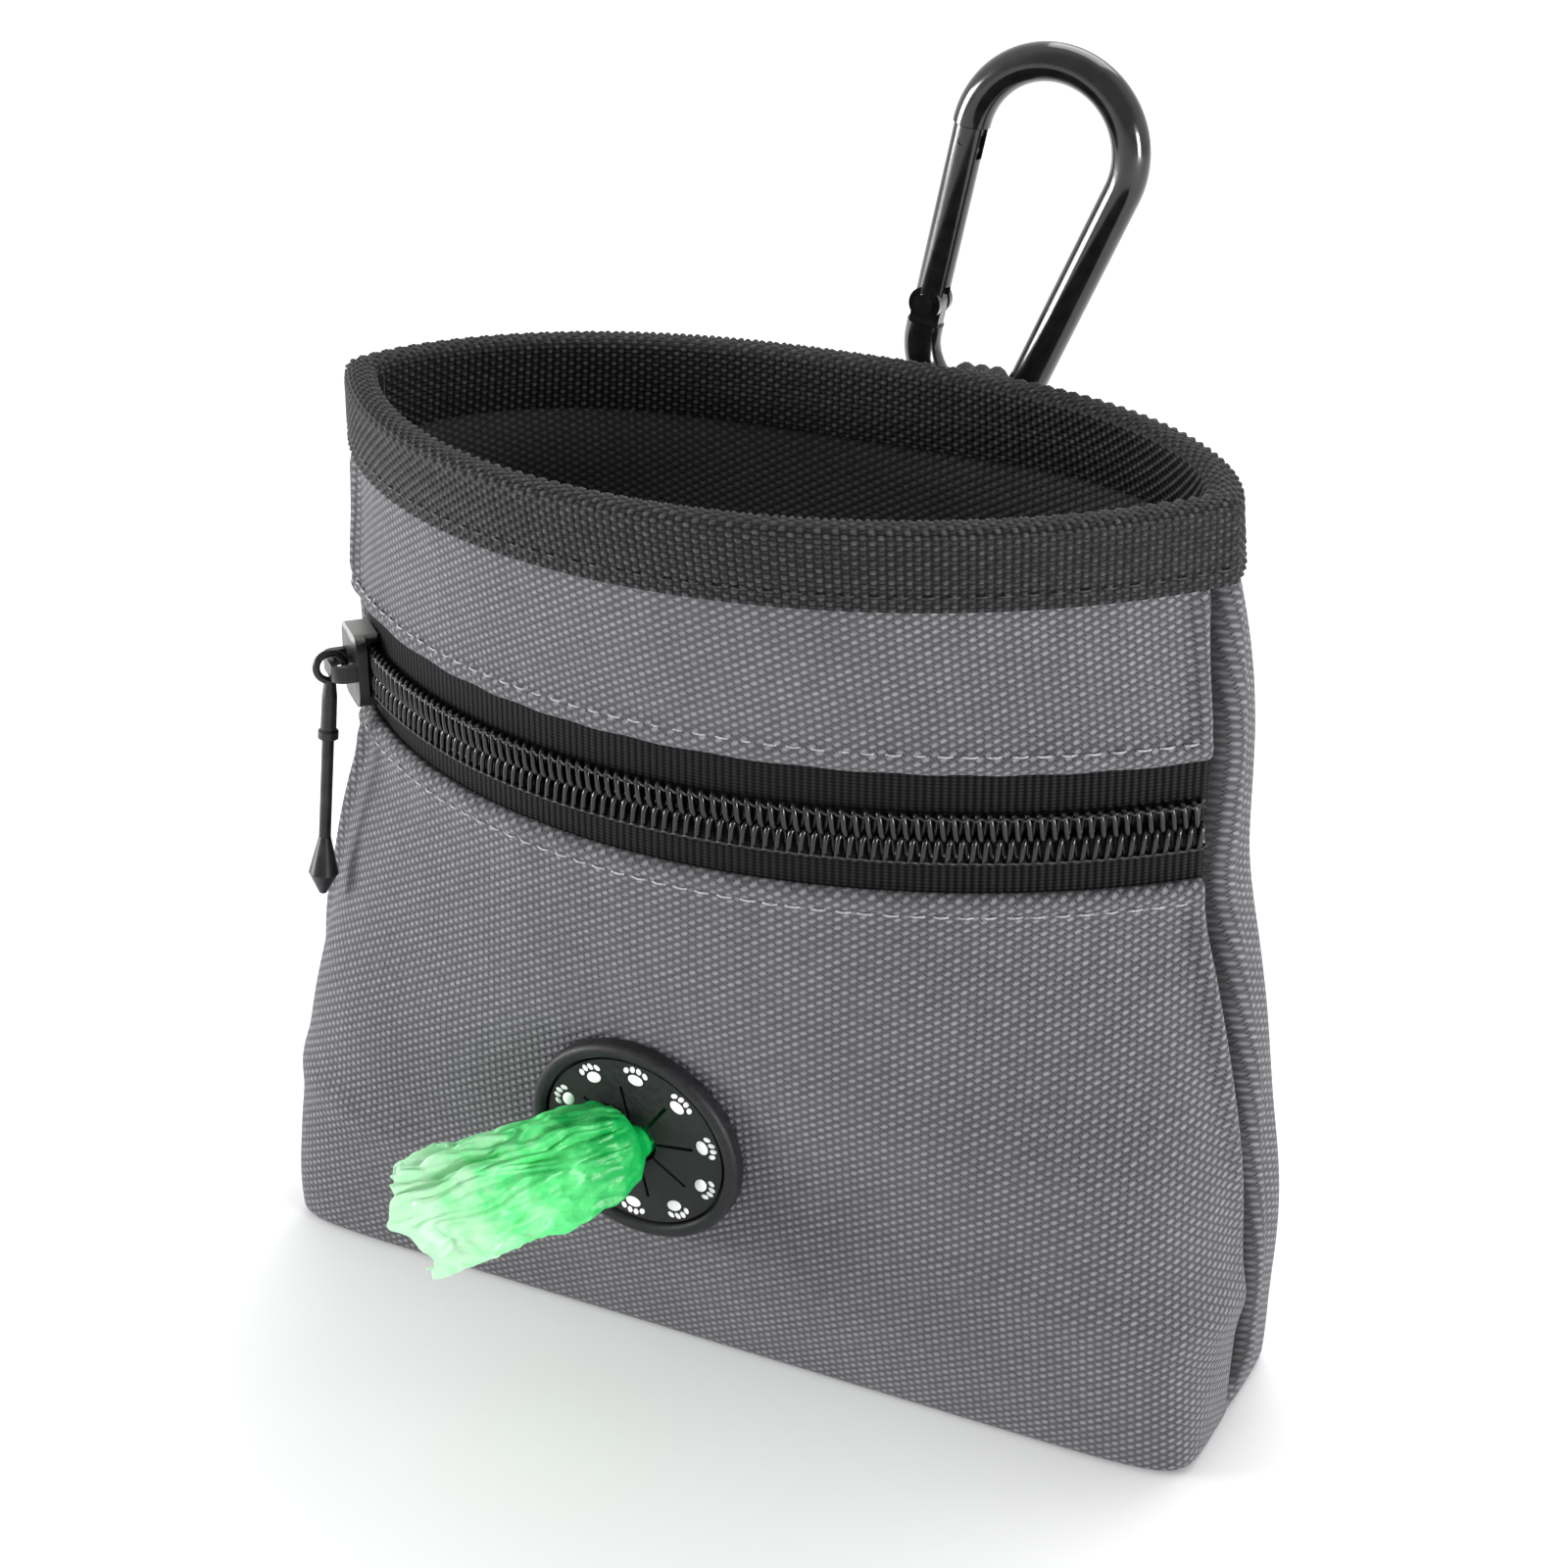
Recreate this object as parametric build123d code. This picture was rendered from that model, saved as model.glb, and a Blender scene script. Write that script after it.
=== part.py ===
from build123d import *
import os
from math import atan2, cos, pi, radians, sin, sqrt

# Treat pouch: a boxed fabric bag with a bound rim, a curved front zip over a pocket
# that holds a roll of bags, a rubber dispensing port, and a carabiner on a rear loop.
# Millimetres. +X is the bag's right as seen from the front, -Y is the front, +Z is up.
# The origin is the middle of the base, on the surface that the pouch stands on.

os.makedirs("parts", exist_ok=True)

# Fabric layers
CANVAS = 1.0
LINING = 0.6
LAYER_GAP = 0.12
SEAM_GAP = 0.1
WALL_STACK = CANVAS + LAYER_GAP + LINING

# Rim
RIM_TOP = 120.0
BINDING = 1.0
BINDING_DROP = 10.0
PANEL_TOP = RIM_TOP - BINDING - LAYER_GAP

# Front zip: the front wall is an upright cylinder here, so the slider runs round its axis
ZIP_HALF_WIDTH = 59.9
ZIP_SAGITTA = 26.2
ZIP_RADIUS = (ZIP_HALF_WIDTH**2 + ZIP_SAGITTA**2) / (2 * ZIP_SAGITTA)
ZIP_AXIS_Y = ZIP_RADIUS - ZIP_SAGITTA - SEAM_GAP / 2
ZIP_Z = 81.0
ZIP_SLOT_BELOW = 7.2
ZIP_SLOT_ABOVE = 8.0
ZIP_END_ANGLE = 46.0
TAPE = 0.6
TAPE_WIDTH = 14.0
TAPE_OUTER = ZIP_RADIUS - CANVAS - LAYER_GAP
COIL_HEIGHT = 2.8
COIL_THICKNESS = 1.8
CHAIN_GAP = 1.2
COIL_OUTER = TAPE_OUTER + COIL_THICKNESS
STITCH_OFFSET = 2.5
THREAD = 0.4

# Slider and pull
SLIDER_REST = -42.7
SLIDER_LENGTH = 9.2
SLIDER_HEIGHT = 9.9
SLIDER_PLATE = 1.3
SLIDER_CLEARANCE = 0.35
FLANGE = 1.2
CROWN_LENGTH = 7.6
CROWN_WIDTH = 2.2
CROWN_STRAP = 0.8
CROWN_RISE = 2.65
PULL_LEAN = 5.5
PULL_RING = 1.9
PULL_WIRE = 0.5

# Bag sections from the base up: height, half width, front depth, back depth, then the
# side and depth powers of the front curve and of the back curve. High powers are square,
# low ones are lens-like.
SECTIONS = [
    (0.0, 65.7, 17.0, 17.0, 14.0, 10.0, 14.0, 10.0),
    (6.0, 66.3, 18.5, 18.2, 10.0, 7.0, 10.0, 7.0),
    (21.0, 67.2, 21.5, 20.5, 5.2, 3.3, 7.0, 4.0),
    (47.0, 64.4, 25.0, 23.6, 2.35, 1.5, 6.5, 2.3),
    (62.0, 61.7, 26.0, 25.2, 2.1, 1.2, 6.5, 2.1),
    (70.0, ZIP_HALF_WIDTH, ZIP_SAGITTA, 26.0, 2.0, 1.1, 6.5, 2.0),
    (92.0, ZIP_HALF_WIDTH, ZIP_SAGITTA, 28.3, 2.0, 1.1, 5.5, 1.9),
    (104.0, 58.4, 29.2, 29.6, 2.0, 1.1, 4.3, 1.75),
    (110.0, 58.1, 30.3, 30.2, 2.0, 1.1, 3.6, 1.65),
    (120.0, 57.7, 32.5, 31.0, 2.0, 1.1, 2.5, 1.5),
]
ARC_FROM = 70.0
CURVE_STEPS = 14
FRONT = -1
BACK = 1

# Dispensing port and the bags
PORT_X = -5.2
PORT_Z = 33.7
PORT_RADIUS = 14.5
PORT_RIM = 1.9
PORT_FACE_RADIUS = 12.2
PORT_SLEEVE = 10.2
PORT_HOLE = 3.0
PORT_SEAT = 0.25
PORT_RIM_HIGH = 2.3
PORT_GROOVE_HIGH = 0.9
PORT_FACE_HIGH = 1.7
PETAL_LOW = 0.7
PETAL_TURN = 8.0
SLEEVE_WALL = 1.1
PETALS = 8
PETAL_LENGTH = 8.4
SLIT = 0.45
PORT_BACKING = 1.1
PORT_BACKING_GAP = 0.7
MARKS = 16
ROLL_RADIUS = 13.0
ROLL_LENGTH = 58.0
ROLL_X = -3.0
ROLL_Y = -5.6
ROLL_Z = 14.5
CORE_RADIUS = 6.0
CORE_WALL = 1.0
BAG_NECK = 2.5

# Carabiner and its loop
ROD = 2.4
CARABINER_TILT = 18.4
CARABINER_Y = 37.7
LOW_X = 11.2
LOW_Z = 120.7
LOW_BEND = 7.7
HIGH_BEND = 10.6
BEND_SPACING = 27.55
TANG_HALF = 0.9
PIVOT_ALONG = 3.9
GATE_ROD = 2.15
PIVOT_PIN = 0.9
PIVOT_RUNNING = 0.06
LATCH_PIN = 0.45
LOOP_WIDTH = 20.0
LOOP_NECK = 5.8
LOOP_CAVITY = 4.05
WEBBING = 1.3


def save(shape, node):
    """Write one sub-part to its own file."""
    export_step(shape, f"parts/{node}.step")


def section_at(z):
    """Section sizes at a height, interpolated between the rows of SECTIONS."""
    z = min(max(z, SECTIONS[0][0]), SECTIONS[-1][0])
    for low, high in zip(SECTIONS, SECTIONS[1:]):
        if z <= high[0]:
            share = (z - low[0]) / (high[0] - low[0])
            return [a + share * (b - a) for a, b in zip(low, high)][1:]


def half_curve(z, side, inset, seam=SEAM_GAP / 2):
    """The bag's front or back curve at a height, moved inwards by inset."""
    width, front, back, *powers = section_at(z)
    depth = front if side == FRONT else back
    side_power, power = powers[:2] if side == FRONT else powers[2:]
    y_seam = side * seam
    if side == FRONT and z >= ARC_FROM:
        end = width - inset
        middle = y_seam - depth + inset
        return ThreePointArc((-end, y_seam, z), (0, middle, z), (end, y_seam, z))
    points = []
    for step in range(CURVE_STEPS + 1):
        turn = pi * step / CURVE_STEPS
        across = -cos(turn)
        x = (width - inset) * abs(across) ** (2 / side_power) * (1 if across > 0 else -1)
        y = side * (depth - inset) * abs(sin(turn)) ** (2 / power)
        points.append((x, y_seam + (0 if step in (0, CURVE_STEPS) else y), z))
    return Spline(*points)


def heights(low, high):
    """The section heights that a wall from low to high passes through."""
    return [low] + [row[0] for row in SECTIONS if low < row[0] < high] + [high]


def half_outline(z, side, inset, reach):
    """Closed outline of one half of the bag, running reach past the side seam."""
    curve = half_curve(z, side, inset)
    left = curve @ 0
    right = curve @ 1
    if not reach:
        return Wire([curve, Line(right, left)])
    far = right.Y - side * reach
    corner_right = (right.X, far, z)
    corner_left = (left.X, far, z)
    sides = [Line(right, corner_right), Line(corner_right, corner_left), Line(corner_left, left)]
    return Wire([curve] + sides)


def half_body(low, high, side, inset, reach=0):
    """Solid half of the bag between two heights."""
    wires = [half_outline(z, side, inset, reach) for z in heights(low, high)]
    return Solid.make_loft(wires, ruled=True)


def wall(side, low, high, inset, thickness, floor=0):
    """One fabric layer of the front or back, with a floor if floor is given."""
    inner_low = low + floor if floor else low - 1
    outer = half_body(low, high, side, inset)
    return outer - half_body(inner_low, high + 1, side, inset + thickness, reach=1)


def mouth_body(low, high, inset):
    """Solid of the whole mouth's outline between two heights."""
    wires = []
    for z in heights(low, high):
        wires.append(Wire([half_curve(z, FRONT, inset, 0), half_curve(z, BACK, inset, 0)]))
    return Solid.make_loft(wires, ruled=True)


def front_surface_y(x, z):
    """Y of the outer face of the front wall."""
    width, front, _, side_power, power, *_ = section_at(z)
    return -SEAM_GAP / 2 - front * (1 - abs(x / width) ** side_power) ** (1 / power)


def on_zip(radius, angle, z):
    """A point at a radius and an angle (degrees from the front) about the zip's axis."""
    turn = radians(angle)
    return (radius * sin(turn), ZIP_AXIS_Y - radius * cos(turn), z)


def zip_band(inner, outer, low, high, end=ZIP_END_ANGLE):
    """Part of an upright tube about the zip's axis."""
    edges = [
        ThreePointArc(on_zip(outer, -end, low), on_zip(outer, 0, low), on_zip(outer, end, low)),
        Line(on_zip(outer, end, low), on_zip(inner, end, low)),
        ThreePointArc(on_zip(inner, end, low), on_zip(inner, 0, low), on_zip(inner, -end, low)),
        Line(on_zip(inner, -end, low), on_zip(outer, -end, low)),
    ]
    return extrude(make_face(edges), amount=high - low, dir=(0, 0, 1))


# ---------------------------------------------------------------- fabric panels

SLOT_LOW = ZIP_Z - ZIP_SLOT_BELOW
SLOT_HIGH = ZIP_Z + ZIP_SLOT_ABOVE
port_y = front_surface_y(PORT_X, PORT_Z)
port_slope = front_surface_y(PORT_X, PORT_Z + 8) - front_surface_y(PORT_X, PORT_Z - 8)
port_normal = Vector(0, -16, port_slope).normalized()
port_plane = Plane(origin=(PORT_X, port_y, PORT_Z), x_dir=(1, 0, 0), z_dir=port_normal)


def port_ring(outer, inner, low, high):
    """A ring on the port's axis, between two heights over the canvas."""
    ring = extrude(Circle(outer) - Circle(inner), amount=high - low)
    return port_plane * Pos(0, 0, low) * ring


def port_cylinder(radius, low, high):
    """A cylinder on the port's axis, between two heights over the canvas."""
    return port_plane * Pos(0, 0, low) * extrude(Circle(radius), amount=high - low)


front_lower_panel = wall(FRONT, 0, SLOT_LOW, 0, CANVAS, floor=CANVAS)
front_lower_panel -= port_cylinder(PORT_SLEEVE + 0.2, -4, 4)
save(front_lower_panel, "front_lower_panel")
save(wall(FRONT, SLOT_HIGH, PANEL_TOP, 0, CANVAS), "front_upper_panel")
save(wall(BACK, 0, PANEL_TOP, 0, CANVAS, floor=CANVAS), "back_panel")

LINING_LOW = 96.0
lining_inset = CANVAS + LAYER_GAP
save(wall(FRONT, LINING_LOW, PANEL_TOP, lining_inset, LINING), "front_lining")
save(wall(BACK, CANVAS + LAYER_GAP, PANEL_TOP, lining_inset, LINING), "back_lining")

# The divider separates the zip pocket from the treats: behind the roll it stands well
# back, and at the top it comes forward to the upper zip tape.
DIVIDER = 0.8
DIVIDER_ROWS = [
    (1.3, 61.0, 8.9, 4.0),
    (30.0, 63.0, 8.9, 3.5),
    (60.0, 56.0, -9.0, 2.5),
    (88.0, 52.0, -20.4, 2.0),
    (95.0, 56.0, -23.4, 2.0),
]


def divider_outline(z, end, middle, power):
    """Closed outline of the divider at a height."""
    faces = []
    for back in (0, DIVIDER):
        points = []
        for step in range(-4, 5):
            share = step / 4
            points.append((end * share, back + middle * (1 - abs(share) ** power), z))
        faces.append(points)
    front_points, back_points = faces
    edges = [
        Spline(*front_points),
        Line(front_points[-1], back_points[-1]),
        Spline(*reversed(back_points)),
        Line(back_points[0], front_points[0]),
    ]
    return Wire(edges)


save(Solid.make_loft([divider_outline(*row) for row in DIVIDER_ROWS], ruled=True), "divider_panel")

# ---------------------------------------------------------------- rim binding

binding_outer = -(LAYER_GAP + BINDING)
binding_inner = WALL_STACK + LAYER_GAP
binding_low = RIM_TOP - BINDING_DROP
channel = mouth_body(binding_low - 1, PANEL_TOP + LAYER_GAP, -LAYER_GAP)
channel -= mouth_body(binding_low - 2, PANEL_TOP + LAYER_GAP, binding_inner)
rim_binding = mouth_body(binding_low, RIM_TOP, binding_outer)
rim_binding -= channel
rim_binding -= mouth_body(binding_low - 2, RIM_TOP + 1, binding_inner + BINDING)
save(rim_binding, "rim_binding")

rim_stitch_z = binding_low + 1.5
rim_stitching = mouth_body(rim_stitch_z, rim_stitch_z + THREAD, binding_outer - 0.3)
rim_stitching -= mouth_body(rim_stitch_z - 1, rim_stitch_z + THREAD + 1, binding_outer - 0.02)
save(rim_stitching, "rim_stitching")

# ---------------------------------------------------------------- zip

tape_inner = TAPE_OUTER - TAPE
half_gap = CHAIN_GAP / 2
save(zip_band(tape_inner, TAPE_OUTER, ZIP_Z + half_gap, ZIP_Z + TAPE_WIDTH), "zip_tape_upper")
save(zip_band(tape_inner, TAPE_OUTER, ZIP_Z - TAPE_WIDTH, ZIP_Z - half_gap), "zip_tape_lower")
coil_high = ZIP_Z + half_gap + COIL_HEIGHT
coil_low = ZIP_Z - half_gap - COIL_HEIGHT
save(zip_band(TAPE_OUTER, COIL_OUTER, ZIP_Z + half_gap, coil_high), "zip_coil_upper")
save(zip_band(TAPE_OUTER, COIL_OUTER, coil_low, ZIP_Z - half_gap), "zip_coil_lower")


def zip_stitching(z):
    """A row of thread on the canvas beside the zip."""
    return zip_band(ZIP_RADIUS + 0.02, ZIP_RADIUS + 0.3, z - THREAD / 2, z + THREAD / 2, 45.5)


save(zip_stitching(SLOT_HIGH + STITCH_OFFSET), "zip_stitching_upper")
save(zip_stitching(SLOT_LOW - STITCH_OFFSET), "zip_stitching_lower")

# The slider is built at the middle of the front and then turned to the closed end.
ZIP_AXIS = Axis((0, ZIP_AXIS_Y, 0), (0, 0, 1))
plate_inner = COIL_OUTER + SLIDER_CLEARANCE
plate_outer = plate_inner + SLIDER_PLATE
inner_plate_outer = tape_inner - SLIDER_CLEARANCE - 0.12
inner_plate_inner = inner_plate_outer - SLIDER_PLATE


def slider_block(length, inner, outer, height, x=0.0, z=0.0):
    """A block centred on the zip line, between two radii."""
    centre = (x, ZIP_AXIS_Y - (inner + outer) / 2, ZIP_Z + z)
    return Pos(*centre) * Box(length, outer - inner, height)


def slider_plate(inner, outer):
    """A slider plate with rounded corners."""
    outline = RectangleRounded(SLIDER_LENGTH, SLIDER_HEIGHT, 2.2)
    plane = Plane(origin=(0, ZIP_AXIS_Y - inner, ZIP_Z), x_dir=(1, 0, 0), z_dir=(0, -1, 0))
    return plane * extrude(outline, amount=outer - inner)


flange_inner = TAPE_OUTER + SLIDER_CLEARANCE
flange_z = SLIDER_HEIGHT / 2 - FLANGE / 2
post_length = 2.4
post_x = -SLIDER_LENGTH / 2 + post_length / 2 + 0.3
slider_body = slider_plate(plate_inner, plate_outer)
slider_body += slider_plate(inner_plate_inner, inner_plate_outer)
for side in (-1, 1):
    slider_body += slider_block(
        SLIDER_LENGTH - 3.6, flange_inner, plate_inner + 0.2, FLANGE, z=side * flange_z
    )
slider_body += slider_block(
    post_length, inner_plate_outer - 0.2, plate_inner + 0.2, CHAIN_GAP - 0.5, x=post_x
)
crown_outer = plate_outer + CROWN_RISE + CROWN_STRAP / 2
crown_inner = plate_outer + CROWN_RISE - CROWN_STRAP / 2
crown = slider_block(CROWN_LENGTH, plate_outer - 0.2, crown_outer, CROWN_WIDTH)
crown_ends = crown.edges().filter_by(Axis.Z).group_by(Axis.Y)[0]
crown = fillet(crown_ends, 1.6)
crown -= slider_block(CROWN_LENGTH - 2.0, plate_outer, crown_inner, CROWN_WIDTH + 1)
slider_body += crown
save(slider_body.rotate(ZIP_AXIS, SLIDER_REST), "slider_body")

# The pull's ring goes round the crown, so it lifts about the crown's strap.
pull_pivot = (0, ZIP_AXIS_Y - plate_outer - CROWN_RISE, ZIP_Z)
PULL_STATIONS = [
    (1.75, 0.75),
    (4.0, 1.0),
    (8.6, 1.05),
    (8.9, 1.35),
    (9.9, 1.35),
    (10.2, 0.8),
    (24.0, 0.8),
    (29.2, 2.0),
    (32.2, 0.5),
]
pull_profile = [(0, -PULL_STATIONS[0][0])]
pull_profile += [(radius, -down) for down, radius in PULL_STATIONS]
pull_profile += [(0, -PULL_STATIONS[-1][0]), (0, -PULL_STATIONS[0][0])]
pull_face = Plane.XZ * make_face(Polyline(*pull_profile))
pull_tab = revolve(pull_face, Axis.Z)
pull_tab += Plane.YZ * Torus(PULL_RING, PULL_WIRE)
pull_tab = Pos(*pull_pivot) * Rot(-PULL_LEAN, 0, 0) * pull_tab
save(pull_tab.rotate(ZIP_AXIS, SLIDER_REST), "pull_tab")

# ---------------------------------------------------------------- dispensing port

backing_high = -CANVAS - PORT_BACKING_GAP
backing_low = backing_high - PORT_BACKING
port_disc = port_ring(PORT_RADIUS, PORT_RADIUS - PORT_RIM, PORT_SEAT, PORT_RIM_HIGH)
rim_edges = port_disc.edges().filter_by(GeomType.CIRCLE).sort_by(Axis.Y)[:2]
port_disc = fillet(rim_edges, 0.8)
groove_outer = PORT_RADIUS - PORT_RIM + 0.1
port_disc += port_ring(groove_outer, PORT_FACE_RADIUS, PORT_SEAT, PORT_GROOVE_HIGH)
face_inner = PETAL_LENGTH + 0.6
port_disc += port_ring(PORT_FACE_RADIUS + 0.05, face_inner, PORT_SEAT, PORT_FACE_HIGH)
port_disc += port_ring(PORT_SLEEVE, PORT_SLEEVE - SLEEVE_WALL, backing_low, PORT_SEAT + 0.1)
petals = port_ring(face_inner + 0.1, PORT_HOLE, PETAL_LOW, PORT_FACE_HIGH)
for petal in range(PETALS):
    turn = 360 * petal / PETALS + PETAL_TURN
    slit = Pos(PETAL_LENGTH / 2, 0, PORT_FACE_HIGH) * Box(PETAL_LENGTH, SLIT, 4)
    petals -= port_plane * Rot(0, 0, turn) * slit
port_disc += petals
save(port_disc, "port_disc")

backing = port_ring(PORT_RADIUS - 0.5, PORT_SLEEVE + 0.1, backing_low, backing_high)
save(backing, "port_backing_ring")

MARK_RADIUS = 0.75
MARK_RISE = 0.25
mark_radius = (PORT_FACE_RADIUS + face_inner) / 2
marks = []
for mark in range(MARKS):
    dot = Pos(mark_radius, 0, PORT_FACE_HIGH) * extrude(Circle(MARK_RADIUS), amount=MARK_RISE)
    marks.append(port_plane * Rot(0, 0, 360 * mark / MARKS) * dot)
save(Compound(marks), "port_marks")

# ---------------------------------------------------------------- bag roll and lead bag

roll_place = Pos(ROLL_X, ROLL_Y, ROLL_Z) * Rot(0, 90, 0)
core = Circle(CORE_RADIUS) - Circle(CORE_RADIUS - CORE_WALL)
save(roll_place * extrude(core, amount=ROLL_LENGTH / 2, both=True), "bag_roll_core")
roll = Circle(ROLL_RADIUS) - Circle(CORE_RADIUS + 0.05)
save(roll_place * extrude(roll, amount=ROLL_LENGTH / 2 - 1, both=True), "bag_roll")

# Bag: straight neck through the port, then a crumpled end that leans out to the left.
port_centre = Vector(PORT_X, port_y, PORT_Z)
NECK_INSIDE = 14.0
NECK_OUTSIDE = 3.0
BAG_STATIONS = [
    (Vector(-9.3, -31.2, 32.5), 5.0, 0.35),
    (Vector(-15.0, -36.2, 31.0), 6.4, 0.7),
    (Vector(-20.6, -40.6, 29.1), 7.0, 0.8),
    (Vector(-26.0, -44.8, 27.0), 5.8, 0.9),
]
bag_direction = (BAG_STATIONS[-1][0] - BAG_STATIONS[0][0]).normalized()
bag_wires = []
for inside in (-NECK_INSIDE, NECK_OUTSIDE):
    neck_centre = port_centre + port_normal * inside
    neck_plane = Plane(origin=neck_centre, x_dir=(0, 0, 1), z_dir=port_normal)
    bag_wires.append((neck_plane * Circle(BAG_NECK)).wire())
for centre, radius, turn_share in BAG_STATIONS:
    heading = port_normal * (1 - turn_share) + bag_direction * turn_share
    bag_plane = Plane(origin=centre, x_dir=(0, 0, 1), z_dir=heading)
    bag_wires.append((bag_plane * Circle(radius)).wire())
save(Solid.make_loft(bag_wires, ruled=True), "lead_bag")

# ---------------------------------------------------------------- carabiner loop

LOOP_TOP_Z = LOW_Z - LOW_BEND
loop_outer = Pos(CARABINER_Y, LOOP_TOP_Z) * Circle(LOOP_CAVITY + WEBBING)
front_y = CARABINER_Y - LOOP_CAVITY - WEBBING
rear_y = CARABINER_Y + LOOP_CAVITY + WEBBING
LOOP_BASE_Y = 30.3
LOOP_BASE_THICK = 2.7
LOOP_BASE_LOW = 92.0
LOOP_BASE_HIGH = 104.0
outer_points = [
    (front_y, LOOP_TOP_Z),
    (rear_y, LOOP_TOP_Z),
    (LOOP_BASE_Y + LOOP_BASE_THICK + 2.2, LOOP_BASE_HIGH - 1.0),
    (LOOP_BASE_Y + LOOP_BASE_THICK, LOOP_BASE_HIGH - 4.0),
    (LOOP_BASE_Y + LOOP_BASE_THICK, LOOP_BASE_LOW),
    (LOOP_BASE_Y, LOOP_BASE_LOW),
    (LOOP_BASE_Y, LOOP_BASE_HIGH),
    (front_y, LOOP_TOP_Z - 3.5),
]
inner_points = [
    (front_y + WEBBING, LOOP_TOP_Z),
    (rear_y - WEBBING, LOOP_TOP_Z),
    (front_y + WEBBING + 0.4, LOOP_BASE_HIGH),
    (front_y + WEBBING, LOOP_BASE_HIGH),
]
loop_outer += make_face(Polyline(*outer_points, close=True))
loop_inner = Pos(CARABINER_Y, LOOP_TOP_Z) * Circle(LOOP_CAVITY)
loop_inner += make_face(Polyline(*inner_points, close=True))
loop_profile = Plane.YZ * (loop_outer - loop_inner)
loop = Pos(LOW_X, 0, 0) * extrude(loop_profile, amount=LOOP_WIDTH / 2, both=True)
half_base = LOOP_WIDTH / 2
half_neck = LOOP_NECK / 2
NECK_Z = 107.5
SHOULDER_Z = 99.0
trim = [
    (LOW_X - half_neck, LOOP_TOP_Z + 10),
    (LOW_X + half_neck, LOOP_TOP_Z + 10),
    (LOW_X + half_neck, NECK_Z),
    (LOW_X + half_base, SHOULDER_Z),
    (LOW_X + half_base, LOOP_BASE_LOW - 1),
    (LOW_X - half_base, LOOP_BASE_LOW - 1),
    (LOW_X - half_base, SHOULDER_Z),
    (LOW_X - half_neck, NECK_Z),
]
trim_face = Plane.XZ * make_face(Polyline(*trim, close=True))
loop = loop & extrude(trim_face, amount=100, both=True)
save(loop, "carabiner_loop")

tack_y = LOOP_BASE_Y + LOOP_BASE_THICK
tacks = []
for tack_z in (LOOP_BASE_LOW + 1.6, LOOP_BASE_LOW + 5.4):
    tacks.append(Pos(LOW_X, tack_y + 0.22, tack_z) * Box(LOOP_WIDTH - 4, 0.4, 1.1))
save(Compound(tacks), "loop_bar_tacks")

# ---------------------------------------------------------------- carabiner

tilt = radians(CARABINER_TILT)
flare = atan2(HIGH_BEND - LOW_BEND, sqrt(BEND_SPACING**2 - (HIGH_BEND - LOW_BEND) ** 2))
leg_length = sqrt(BEND_SPACING**2 - (HIGH_BEND - LOW_BEND) ** 2)


def carabiner_point(up, right, y=0.0):
    """A point in the carabiner's plane: up its long axis from the low bend's centre."""
    x = LOW_X + up * sin(tilt) + right * cos(tilt)
    z = LOW_Z + up * cos(tilt) - right * sin(tilt)
    return Vector(x, CARABINER_Y + y, z)


def gate_point(along, out=0.0, y=0.0):
    """A point along the gate's leg from the low bend; out is away from the spine."""
    up = -LOW_BEND * sin(flare) + along * cos(flare) - out * sin(flare)
    right = -(LOW_BEND * cos(flare) + along * sin(flare) + out * cos(flare))
    return carabiner_point(up, right, y)


gate_up = (gate_point(1) - gate_point(0)).normalized()
gate_out = (gate_point(0, 1) - gate_point(0)).normalized()


def gate_plane(along, out=0.0):
    """A plane across the gate's leg, with its x away from the spine."""
    return Plane(origin=gate_point(along, out), x_dir=gate_out, z_dir=gate_up)


def gate_rod(radius, low, high):
    """A round rod along the gate's leg."""
    return gate_plane(low) * extrude(Circle(radius), amount=high - low)


def gate_block(low, high, out_low, out_high, thickness):
    """A block along the gate's leg, centred on the carabiner's plane."""
    middle = (low + high) / 2
    out = (out_low + out_high) / 2
    block = Box(out_high - out_low, thickness, high - low)
    return gate_plane(middle, out) * block


def cross_rod(radius, along, out, half):
    """A round rod across the gate's leg."""
    plane = Plane(origin=gate_point(along, out), x_dir=(1, 0, 0), z_dir=(0, 1, 0))
    return plane * extrude(Circle(radius), amount=half, both=True)


ROD_END = 1.1
high_right = (BEND_SPACING - HIGH_BEND * sin(flare), HIGH_BEND * cos(flare))
low_right = (-LOW_BEND * sin(flare), LOW_BEND * cos(flare))
spine = [
    ThreePointArc(
        gate_point(leg_length),
        carabiner_point(BEND_SPACING + HIGH_BEND, 0),
        carabiner_point(*high_right),
    ),
    Line(carabiner_point(*high_right), carabiner_point(*low_right)),
    ThreePointArc(carabiner_point(*low_right), carabiner_point(-LOW_BEND, 0), gate_point(0)),
    Line(gate_point(0), gate_point(ROD_END)),
]
nose_plane = Plane(origin=gate_point(leg_length), x_dir=gate_out, z_dir=gate_up)
frame_rod = sweep(nose_plane * Circle(ROD), path=Wire(spine))
TONGUE = 3.4
TONGUE_HALF = 0.7
frame = frame_rod + gate_block(ROD_END - 0.6, PIVOT_ALONG, -2.0, 2.0, 2 * TANG_HALF)
frame += cross_rod(2.0, PIVOT_ALONG, 0, TANG_HALF)
tongue = gate_block(leg_length - TONGUE, leg_length + 0.4, -1.6, 1.6, 2 * TONGUE_HALF)
latch_along = leg_length - 2.0
tongue -= gate_block(latch_along - 0.8, latch_along + 0.8, -3, 0.9, 4)
frame += tongue
frame -= cross_rod(PIVOT_PIN, PIVOT_ALONG, 0, 3)
save(frame, "carabiner_frame")

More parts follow.
